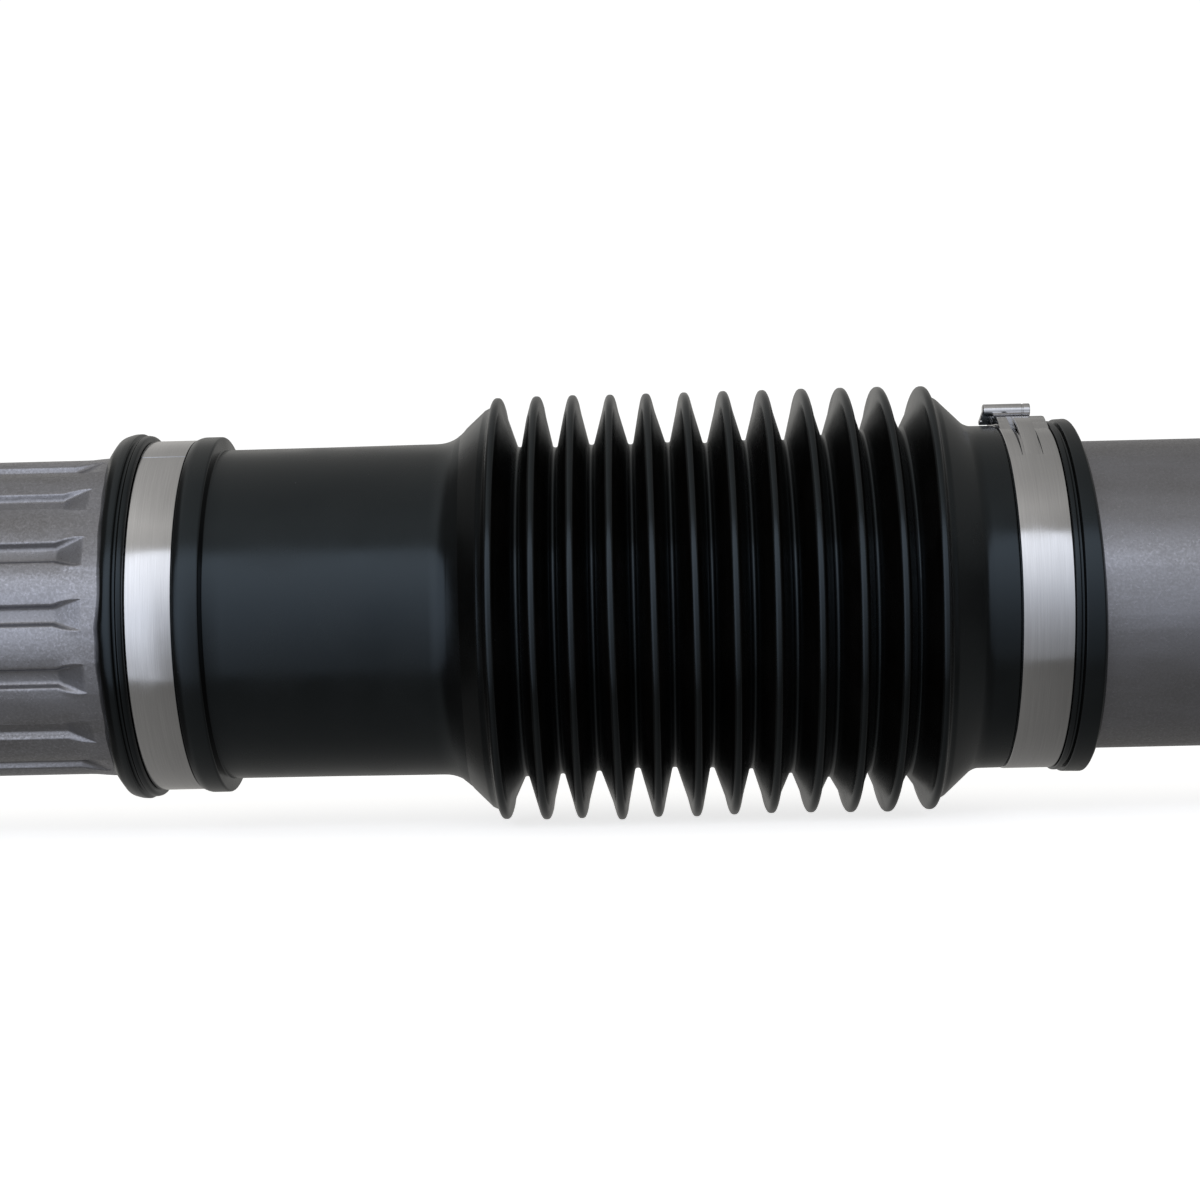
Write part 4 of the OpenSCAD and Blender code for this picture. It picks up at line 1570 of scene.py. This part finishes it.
    def wear(self, p: Vector) -> Vector:
        """Uneven moulding: wavy open ends, and folds that lean and swell a little between uneven valleys.

        Args:
            p: Place of a vertex.

        Returns:
            Its new place.
        """
        turn = math.atan2(-p.y, p.z)
        r = math.hypot(p.y, p.z)
        new_x, new_r = p.x, r
        if p.x < self.start + self.wavy_w:
            front = math.degrees(abs(turn))
            wave = 1.9 - 1.05 * math.cos(2 * turn) - 0.75 * math.exp(-((front - 103) / 22)**2)
            wave += 0.1 * math.sin(9 * turn + 1) + 0.07 * math.sin(23 * turn)
            wave -= 0.3 * math.exp(-((front - 94) / 3.5)**2)
            new_x += smoothstep((self.start + self.wavy_w - p.x) / self.wavy_w) * wave
        if p.x > self.right_wavy_x:
            wave = 0.35 * math.sin(turn)**2 - 0.85 * math.cos(turn)
            new_x += smoothstep((p.x - self.right_wavy_x) / 3) * wave
        if self.fold_span[0] < p.x < self.fold_span[1] and r > self.fold_foot_r:
            i = min(max(round((p.x - self.first_crest) / self.pitch), 0), self.folds - 1)
            rise = smoothstep((r - self.fold_foot_r) / 8)
            top, middle, bottom = self.lean[i]
            mean = ((top + bottom) / 2 + middle) / 2
            sway = (top - bottom) / 2 * math.cos(turn) + (mean - middle) * math.cos(2 * turn)
            new_x += rise * (mean + sway)
            high, low = self.swell[i]
            new_r += rise * ((high + low) / 2 + (high - low) / 2 * math.cos(turn))
        along = (p.x - self.first_crest) / self.pitch
        if 0 < along < self.folds - 1 and 33 < r < 38:
            high, low, _ = self.valleys[int(along)]
            new_r += (high - low) / 2 * math.cos(turn)
        k = new_r / r
        return Vector((new_x, p.y * k, p.z * k))

    def build(self) -> bpy.types.Object:
        """Builds the boot.

        Returns:
            The object.
        """
        outline = self.outside() + self.inside()[1:-1]
        BENCH.lathe("bellows_boot", outline, self.steps)
        BENCH.shape(self.wear)
        return BENCH.finish(smooth_deg=40)


@dataclass
class LeftBand:
    """Plain band with a lap on top."""

    x: float = 298.72
    width: float = 9.1
    r: float = 35.47
    thick: float = 0.7
    lap: float = 0.08
    lap_front: float = 28.0
    lap_back: float = -42.0

    def build(self) -> bpy.types.Object:
        """Builds the band and its lap.

        Returns:
            The object.
        """
        x0, x1, r0, r1 = self.x, self.x + self.width, self.r, self.r + self.thick
        BENCH.lathe("left_band_ring", strip_section(x0, x1, r0, r1, (0.15, 3), (0.25, 3)), 240)
        band = BENCH.finish(30)
        top, mid = r1 + self.lap, (x0 + x1) / 2
        strip = rounded([
            (mid, r1 - 0.2), (x0 + 0.02, r1 - 0.2), (x0 + 0.02, top, 0.2, 3),
            (x1 - 0.02, top, 0.2, 3), (x1 - 0.02, r1 - 0.2), (mid, r1 - 0.2)])
        BENCH.lathe("left_band_lap", strip[:-1], 60, self.lap_back, self.lap_front - self.lap_back)
        lap = BENCH.finish(30)
        return BENCH.join("left_band_strip", [band, lap])


@dataclass
class RightBand:
    """Band with folded layers on top and a tongue that climbs onto them between two cuts."""

    x: float = 472.22
    width: float = 10.0
    r: float = 34.77
    thick: float = 0.7
    top_r: float = 37.12
    layer_back: float = -24.0
    layer_front: float = 17.5
    tongue_start: float = 9.0
    tongue_end: float = 38.0
    tongue_x: float = 477.1
    tongue_w: float = 3.3
    slot_w: float = 1.1
    slot_back: float = 3.0
    crease_w: float = 0.42
    slope: float = 3.6

    @property
    def slot_x(self) -> float:
        """Middle of the cut on the tongue's left."""
        return self.tongue_x - self.tongue_w / 2 - self.slot_w / 2

    def wedge(self, x: float, width: float, back: float) -> bpy.types.Object:
        """Makes a cutter, wide at its upper end and pointed at its lower end.

        Args:
            x: Its middle.
            width: Its width at the upper end.
            back: Turn of the upper end.

        Returns:
            The cutter, still in millimetres.
        """
        low, high = self.r - 1, self.top_r + 1
        BENCH.cube("cutter", (1, 1, 1), (0.5, 0, 0.5))
        corners = {0: (back, width), 1: (self.tongue_end, 0.08)}

        def put(p: Vector) -> Vector:
            """Maps the unit box to the wedge.

            Args:
                p: Place of a vertex.

            Returns:
                Its new place.
            """
            turn, wide = corners[1 if p.y < 0 else 0]
            y, z = around(turn, low if p.z < 0.5 else high)
            return Vector((x + (p.x - 0.5) * wide, y, z))

        BENCH.shape(put)
        BENCH.outward()
        return BENCH.lay_aside()

    def strip(self, name: str, low: float, high: float, start: float, end: float,
              inset: float) -> bpy.types.Object:
        """Builds one folded layer.

        Args:
            name: Name of the layer.
            low: Radius of its underside.
            high: Radius of its upper side.
            start: Turn of its back end.
            end: Turn of its front end.
            inset: Distance from the band's sides.

        Returns:
            The object.
        """
        x0, x1 = self.x + inset, self.x + self.width - inset
        outline = strip_section(x0, x1, low, high, (0.15, 2), (0.25, 3))
        slot = self.wedge(self.slot_x, self.slot_w, self.slot_back)
        BENCH.lathe(name, outline, max(6, int((end - start) / 1.5)), start, end - start)

        def slant(p: Vector) -> Vector:
            """Slopes the front end of the layer.

            Args:
                p: Place of a vertex.

            Returns:
                Its new place.
            """
            turn, r = math.degrees(math.atan2(-p.y, p.z)), math.hypot(p.y, p.z)
            turn -= self.slope * math.degrees((r - low) / r) * (turn - start) / (end - start)
            return Vector((p.x, *around(turn, r)))

        BENCH.shape(slant)
        BENCH.cut(slot)
        return BENCH.finish(30)

    def tongue(self) -> bpy.types.Object:
        """The tongue: a strip whose radius climbs from the band to the top layer.

        Returns:
            The object.
        """
        half = self.tongue_w / 2
        x0, x1 = self.tongue_x - half, self.tongue_x + half
        r1 = self.r + self.thick
        outline = strip_section(x0, x1, 0, self.thick, (0.1, 2), (0.22, 3))
        start, end = self.tongue_start, self.tongue_end + 3
        BENCH.lathe("tongue", [(x, self.r + r) for x, r in outline], 40, start, end - start)
        climb = self.top_r - r1

        def rise(p: Vector) -> Vector:
            """Lifts the strip towards the top.

            Args:
                p: Place of a vertex.

            Returns:
                Its new place.
            """
            turn = math.degrees(math.atan2(-p.y, p.z))
            r = math.hypot(p.y, p.z)
            t = 1 - (turn - self.tongue_start) / (self.tongue_end - self.tongue_start)
            lift = climb * smoothstep(t) - 0.02 * (turn > self.tongue_end)
            return Vector((p.x, *around(turn, r + lift)))

        BENCH.shape(rise)
        return BENCH.finish(30)

    def build(self) -> bpy.types.Object:
        """Builds the band.

        Returns:
            The object.
        """
        x0, x1, r0, r1 = self.x, self.x + self.width, self.r, self.r + self.thick
        left = self.wedge(self.slot_x, self.slot_w, self.slot_back)
        crease_x = self.tongue_x + self.tongue_w / 2 + self.crease_w / 2
        right = self.wedge(crease_x, self.crease_w, self.layer_front + 1)
        BENCH.lathe("right_band_ring", strip_section(x0, x1, r0, r1, (0.15, 3), (0.25, 3)), 240)
        BENCH.cut(left, right)
        parts = [BENCH.finish(30)]
        middle = (r1 + self.top_r) / 2
        upper_front = self.layer_front - self.slope * math.degrees((middle - r1 + 0.1) / middle)
        parts.append(self.strip("lower_layer", r1 - 0.1, middle, self.layer_back - 8, self.layer_front, 0.1))
        parts.append(self.strip("upper_layer", middle, self.top_r, self.layer_back, upper_front, 0.15))
        parts.append(self.tongue())
        return BENCH.join("right_band_strip", parts)


@dataclass
class ClampBar:
    """Rolled bar on the right band, with a foot that hooks the band's left edge."""

    x: float = 470.3
    length: float = 9.7
    r: float = 1.35
    wall: float = 0.45
    centre_r: float = 38.49
    foot_x: float = 2.3
    foot_w: float = 1.3
    foot_r: float = 35.65
    foot_lean: float = 30.0

    def build(self) -> bpy.types.Object:
        """Builds the bar and its foot.

        Returns:
            The object.
        """
        x0, x1, r = self.x, self.x + self.length, self.r
        outline = rounded([
            (x0, 0.0), (x0, r, 0.35), (x1 - 1.75, r, 0.1, 2), (x1 - 1.65, r - 0.1, 0.1, 2),
            (x1 - 1.4, r - 0.1, 0.1, 2), (x1 - 1.3, r, 0.1, 2), (x1, r, 0.2), (x1, r - self.wall, 0.15),
            (x1 - 1.2, r - self.wall, 0.2), (x1 - 1.2, 0.0)
        ])
        BENCH.lathe("bar_roll", outline, 40, close=False)
        BENCH.all().move((0, 0, self.centre_r))
        roll = BENCH.finish(35)
        height = self.centre_r - self.foot_r + 0.3
        BENCH.cube("bar_foot", (self.foot_x, self.foot_w, height),
                   (x0 + self.foot_x / 2, 0.2, self.foot_r + height / 2))
        BENCH.pick(lambda p: p.z < self.foot_r + 0.1).size((1.35, 1.1, 1), (x0 + self.foot_x, 0, self.foot_r))
        BENCH.all().turn(self.foot_lean, Axis.X, (x0, 0.2, self.foot_r + height / 2))
        foot = BENCH.finish(30, bevel=0.2, bevel_steps=3)
        BENCH.sphere("bar_pin", 0.35, (x0 - 0.6, -1.7, self.foot_r + 0.5))
        pin = BENCH.finish(60)
        return BENCH.join("right_clamp_roll", [roll, foot, pin])


@dataclass
class WeldBead:
    """Bead with the ripples of a turned weld."""

    x: float
    tube_r: float
    width: float = 6.0
    height: float = 1.3
    ripples: int = 104
    ripple_h: float = 0.11

    def build(self, name: str) -> bpy.types.Object:
        """Builds the bead.

        Args:
            name: Name of the piece.

        Returns:
            The object.
        """
        bead_r = (self.width**2 / 4 + self.height**2) / (2 * self.height)
        centre = self.tube_r + self.height - bead_r
        half = math.degrees(math.asin(self.width / 2 / bead_r)) * 0.985
        outline = arc((self.x, centre), bead_r, -half, half, 14)
        foot = self.width / 2 - 0.2
        outline += [(self.x + foot, self.tube_r + 0.02), (self.x - foot, self.tube_r + 0.02)]
        BENCH.lathe(name, outline, self.ripples * 5)
        wander = random.random() * 6

        def ripple(p: Vector) -> Vector:
            """Lays the ripples, curved like the back edge of a weld pool.

            Args:
                p: Place of a vertex.

            Returns:
                Its new place.
            """
            r = math.hypot(p.y, p.z)
            turn = math.atan2(-p.y, p.z)
            across = (p.x - self.x) / (self.width / 2)
            phase = self.ripples * turn / math.tau + 1.1 * across**2 + 0.25 * math.sin(3 * turn + wander)
            saw = phase % 1.0
            height = saw / 0.7 if saw < 0.7 else (1 - saw) / 0.3
            body = max(0.0, min(1.0, (r - self.tube_r - 0.1) / 0.6))
            lift = self.ripple_h * (height - 0.5) * body
            side = 0.18 * math.sin(11 * turn + wander) * body * across
            k = (r + lift) / r
            return Vector((p.x + side * 0.6, p.y * k, p.z * k))

        BENCH.shape(ripple)
        return BENCH.finish(60)


@dataclass
class JointEnd:
    """Universal joint at one end of the shaft, drawn around its own centre with the flange towards -X."""

    side: Side
    centre: float
    cup_r: float = 13.48
    cup_mouth: float = 23.5
    cup_top: float = 40.9
    cup_bore_r: float = 10.8
    cup_floor: float = 38.6
    snap_in: float = 11.3
    snap_out: float = 14.6
    snap_t: float = 1.46
    snap_gap: float = 50.0
    seal_start: float = 17.92
    seal_end: float = 23.18
    seal_r: float = 13.2
    seal_bore_r: float = 11.03
    fitting_foot: float = 21.6
    voxel: float = 0.62
    flange_t: float = 9.5
    reach: float = 44.5
    bolt_circle: float = 39.69
    eye_r: float = 2.0
    eye_hole_r: float = 0.75
    cross_voxel: float = 0.5
    face_depth: float = 0.35
    bore_bare_r: float = 15.1
    ears_from: float = 25.0
    hole_bare_r: float = 5.4
    spot_bare_r: float = 9.2
    spigot_from: float = 37.5
    trunnions_from: float = 18.2

    def away(self, x: float) -> float:
        """Distance from the flange's face, from a place along the shaft."""
        local = x - self.centre if self.side is Side.LEFT else self.centre - x
        return local + self.reach

    def on_trunnions(self, name: str, ears: Ears,
                     make: Callable[[str], bpy.types.Object]) -> bpy.types.Object:
        """Copies a trunnion's piece, drawn along +X, to the two ears of a pair.

        Args:
            name: Name of the joined piece.
            ears: The pair of ears.
            make: Builds the piece, still in millimetres.

        Returns:
            The joined object.
        """
        made = []
        for direction in (1, -1):
            part = make(f"{name}_{len(made)}")
            BENCH.take(part).all()
            BENCH.turn(-90 * direction, Axis.Y)
            if ears is Ears.FLANGE:
                BENCH.turn(-90, Axis.X)
            BENCH.move((self.centre, 0, 0))
            made.append(BENCH.finish(32))
        return BENCH.join(name, made)

    def cup(self, name: str) -> bpy.types.Object:
        """One bearing cup, with a dished closed end.

        Args:
            name: Name of the piece.

        Returns:
            The piece, still in millimetres.
        """
        top, r = self.cup_top, self.cup_r
        outline = rounded([
            (top - 0.35, 0.0), (top - 0.35, 7.6, 0.3), (top, 8.4, 0.3), (top, r - 0.7, 0.25),
            (top - 0.7, r, 0.25), (self.cup_mouth + 0.5, r, 0.2), (self.cup_mouth, r - 0.5, 0.2),
            (self.cup_mouth, self.cup_bore_r, 0.2),
            (self.cup_floor - 0.5, self.cup_bore_r, 0.4), (self.cup_floor, self.cup_bore_r - 0.6, 0.3),
            (self.cup_floor, 0.0)
        ])
        BENCH.lathe(name, outline, 96, close=False)
        return BENCH.lay_aside()

    def snap_ring(self, name: str) -> bpy.types.Object:
        """One snap ring, with an eye at each end for the pliers.

        Args:
            name: Name of the piece.

        Returns:
            The piece, still in millimetres.
        """
        low, high = self.cup_top + 0.04, self.cup_top + 0.02 + self.snap_t
        outline = rounded([
            (low, self.snap_in + 1), (low, self.snap_in, 0.2, 2), (high, self.snap_in, 0.25, 3),
            (high, self.snap_out, 0.25, 3), (low, self.snap_out, 0.2, 2), (low, self.snap_in + 1)])
        BENCH.lathe(name, outline[:-1], 72, self.snap_gap / 2, 360 - self.snap_gap)
        ring = BENCH.lay_aside()
        eye_outline = rounded([
            (low + 0.02, 0.0), (low + 0.02, self.eye_r, 0.2), (high - 0.02, self.eye_r, 0.25),
            (high - 0.02, 0.0)])
        hole_outline = [
            (low - 1, 0.0), (low - 1, self.eye_hole_r), (high + 1, self.eye_hole_r), (high + 1, 0.0)]
        for sign in (1, -1):
            y, z = around(sign * (self.snap_gap / 2 + 7), self.snap_in + 0.1)
            BENCH.lathe("eye", eye_outline, 28, close=False)
            BENCH.all().move((0, y, z))
            eye = BENCH.lay_aside()
            BENCH.lathe("hole", hole_outline, 20, close=False)
            BENCH.all().move((0, y, z))
            hole = BENCH.lay_aside()
            BENCH.take(ring)
            BENCH.cut(eye, operation="UNION")
            BENCH.cut(hole)
        return ring

    def seal(self, name: str) -> bpy.types.Object:
        """One trunnion seal, with a folded lip.

        Args:
            name: Name of the piece.

        Returns:
            The piece, still in millimetres.
        """
        a, b, r = self.seal_start, self.seal_end, self.seal_r
        outline = rounded([
            (a, self.seal_bore_r), (a, r - 0.5, 0.4), (a + 1.4, r, 0.5), (a + 2.4, r - 0.15, 0.2),
            (a + 2.7, r - 0.75, 0.25), (a + 3.1, r - 0.15, 0.25), (b - 1.0, r - 0.1, 0.4), (b, r - 0.9, 0.3),
            (b, self.seal_bore_r)
        ])
        BENCH.lathe(name, outline, 80)
        return BENCH.lay_aside()

    def grease_fitting(self) -> bpy.types.Object:
        """Grease fitting between two arms of the cross, towards the back and up.

        Returns:
            The object.
        """
        foot = self.fitting_foot
        BENCH.cylinder("fitting_hex", 3.1, 3.2, (0, 0, foot + 1.6), 6)
        BENCH.modify("BEVEL", width=0.22, segments=2, limit_method="ANGLE", angle_limit=math.radians(30))
        hexagon = BENCH.lay_aside()
        z = foot + 3.1
        outline = rounded([
            (z, 0.0), (z, 2.5, 0.1), (z + 0.5, 1.9, 0.2), (z + 1.9, 1.65, 0.3), (z + 2.2, 1.3, 0.2),
            (z + 2.6, 1.75, 0.2), (z + 3.5, 2.35, 0.5), (z + 4.6, 2.0, 0.5), (z + 5.4, 1.0, 0.2),
            (z + 5.5, 0.6, 0.1), (z + 5.0, 0.45, 0.1), (z + 4.8, 0.0)])
        BENCH.lathe("fitting_head", outline, 40, close=False)
        BENCH.turn(-90, Axis.Y)
        head = BENCH.lay_aside()
        BENCH.take(hexagon)
        BENCH.cut(head, operation="UNION")
        BENCH.take(hexagon).all()
        BENCH.turn(-45, Axis.X)
        BENCH.move((self.centre, 0, 0))
        obj = BENCH.finish(30)
        obj.name = obj.data.name = f"{self.side.value}_fitting"
        return obj

    def forging(self, name: str, node: str, bare: Callable[[Vector], float],
                voxel: float) -> bpy.types.Object:
        """Softens the edges of a CAD node's copy as a forging's are, and marks what was machined.

        Args:
            name: Name of the piece.
            node: CAD node that it stands for.
            bare: Takes a point and returns 1 where the steel is bare.
            voxel: Size of the voxels, in millimetres.

        Returns:
            The object.
        """
        BENCH.copy_node(name, node)
        BENCH.modify("REMESH", mode="VOXEL", voxel_size=voxel, adaptivity=0.0)
        BENCH.modify("SMOOTH", factor=0.5, iterations=4)
        BENCH.mark(MACHINED, bare)
        return BENCH.finish(50)

    def bare_flange(self, p: Vector) -> float:
        """Tells where the flange yoke is machined: face, pilot, holes, spot faces and ear bores.

        Args:
            p: A point.

        Returns:
            1 where the steel is bare, else 0.
        """
        x = self.away(p.x)
        bore = math.hypot(p.x - self.centre, p.z)
        if x < self.face_depth:
            return 1.0
        if bore < self.bore_bare_r and abs(p.y) > self.ears_from:
            return 1.0
        for i in range(4):
            y, z = around(45 + 90 * i, self.bolt_circle)
            off = math.hypot(p.y - y, p.z - z)
            on_spot = self.flange_t - 1.2 < x < self.flange_t + 0.3
            if off < self.hole_bare_r or (off < self.spot_bare_r and on_spot):
                return 1.0
        return 0.0

    def bare_yoke(self, p: Vector) -> float:
        """1 in the ear bores and on the spigot, else 0."""
        in_bore = math.hypot(p.x - self.centre, p.y) < self.bore_bare_r and abs(p.z) > self.ears_from
        return float(in_bore or self.away(p.x) > self.reach + self.spigot_from)

    def bare_cross(self, p: Vector) -> float:
        """1 on the trunnions and shoulders, else 0."""
        return float(max(abs(p.y), abs(p.z)) > self.trunnions_from)


class Assembly:
    """Builds all pieces, dresses each in its slot's material and hides the CAD nodes that it replaces; all
    but the boot ride on a body.
    """

    def __init__(self, finishes: Finishes) -> None:
        """Keeps the finishes."""
        self.finishes = finishes

    def fit(self, obj: bpy.types.Object, body: Body, slot: Slot, *nodes: str) -> None:
        """Dresses a piece, makes it ride and lets it stand for its CAD nodes.

        Args:
            obj: The piece.
            body: Body that it rides on.
            slot: Its finish.
            nodes: CAD nodes that it stands for.
        """
        self.finishes.dress(obj, slot)
        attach(obj, body.value)
        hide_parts(*nodes)
        LOG.info("%s: %d faces, rides on %s", obj.name, len(obj.data.polygons), body.value)

    def carry_over(self) -> None:
        """Dresses every CAD node by its name."""
        ends = {
            "weld_yoke": Slot.FORGED, "weld_bead": Slot.WELD, "flange_yoke": Slot.FORGED, "cross": Slot.CROSS,
            "cups": Slot.CUP, "needles": Slot.CUP, "washers": Slot.WASHER, "snap_rings": Slot.SPRING,
            "cross_seals": Slot.SEAL, "grease_fitting": Slot.FITTING, "slip_tube": Slot.TUBE,
            "plug": Slot.PLUG, "boot": Slot.BOOT, "clamp_band": Slot.BAND, "clamp_bar": Slot.BAND,
        }
        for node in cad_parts:
            slot = next(slot for end, slot in ends.items() if node.endswith(end))
            self.finishes.dress_node(node, slot)

    def build(self) -> None:
        """Builds the pieces in order."""
        self.carry_over()
        tubes = SlipTubes()
        self.fit(tubes.outer(), Body.OUTER, Slot.TUBE, "outer_slip_tube")
        self.fit(tubes.inner(), Body.INNER, Slot.TUBE, "inner_slip_tube")
        boot = Boot().build()
        self.finishes.dress(boot, Slot.BOOT)
        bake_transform(boot)
        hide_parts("boot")
        LOG.info("%s: %d faces", boot.name, len(boot.data.polygons))
        self.fit(LeftBand().build(), Body.OUTER, Slot.BAND, "left_clamp_band")
        self.fit(RightBand().build(), Body.INNER, Slot.BAND, "right_clamp_band")
        self.fit(ClampBar().build(), Body.INNER, Slot.BAND, "right_clamp_bar")
        left, left_bead = JointEnd(Side.LEFT, centre=44.5), WeldBead(x=83.5, tube_r=32.85)
        right, right_bead = JointEnd(Side.RIGHT, centre=715.5), WeldBead(x=676.5, tube_r=31.75)
        self.joint_end(left, left_bead, Body.OUTER, Body.LEFT_CROSS, Body.LEFT_FLANGE)
        self.joint_end(right, right_bead, Body.INNER, Body.RIGHT_CROSS, Body.RIGHT_FLANGE)

    def joint_end(self, end: JointEnd, bead: WeldBead, shaft: Body, cross: Body, flange: Body) -> None:
        """Builds one universal joint and its weld.

        Args:
            end: The joint.
            bead: The weld bead beside it.
            shaft: Body of the tube that it is welded to.
            cross: Body of the cross.
            flange: Body of the flange.
        """
        side = end.side.value
        self.fit(bead.build(f"{side}_bead"), shaft, Slot.WELD, f"{side}_weld_bead")
        for name, node, bare, voxel, body, slot in (
                ("yoke", "weld_yoke", end.bare_yoke, end.voxel, shaft, Slot.FORGED),
                ("flange", "flange_yoke", end.bare_flange, end.voxel, flange, Slot.FORGED),
                ("spider", "cross", end.bare_cross, end.cross_voxel, cross, Slot.CROSS)):
            piece = end.forging(f"{side}_{name}", f"{side}_{node}", bare, voxel)
            self.fit(piece, body, slot, f"{side}_{node}")
        for ears in Ears:
            body = shaft if ears is Ears.SHAFT else flange
            name = f"{side}_{ears.value}"
            self.fit(end.on_trunnions(f"{name}_cup_pair", ears, end.cup), body, Slot.CUP, f"{name}_cups")
            self.fit(end.on_trunnions(f"{name}_ring_pair", ears, end.snap_ring), body, Slot.SPRING,
                     f"{name}_snap_rings")
        seals = [end.on_trunnions(f"{side}_{ears.value}_seals", ears, end.seal) for ears in Ears]
        self.fit(BENCH.join(f"{side}_seal_set", seals), cross, Slot.SEAL, f"{side}_cross_seals")
        self.fit(end.grease_fitting(), cross, Slot.FITTING, f"{side}_grease_fitting")


def main() -> None:
    """Builds the studio and the part."""
    logging.basicConfig(level=logging.INFO, format="%(name)s: %(message)s")
    random.seed(7)
    Studio().build()
    Assembly(Finishes()).build()


if __name__ == "__main__":
    main()
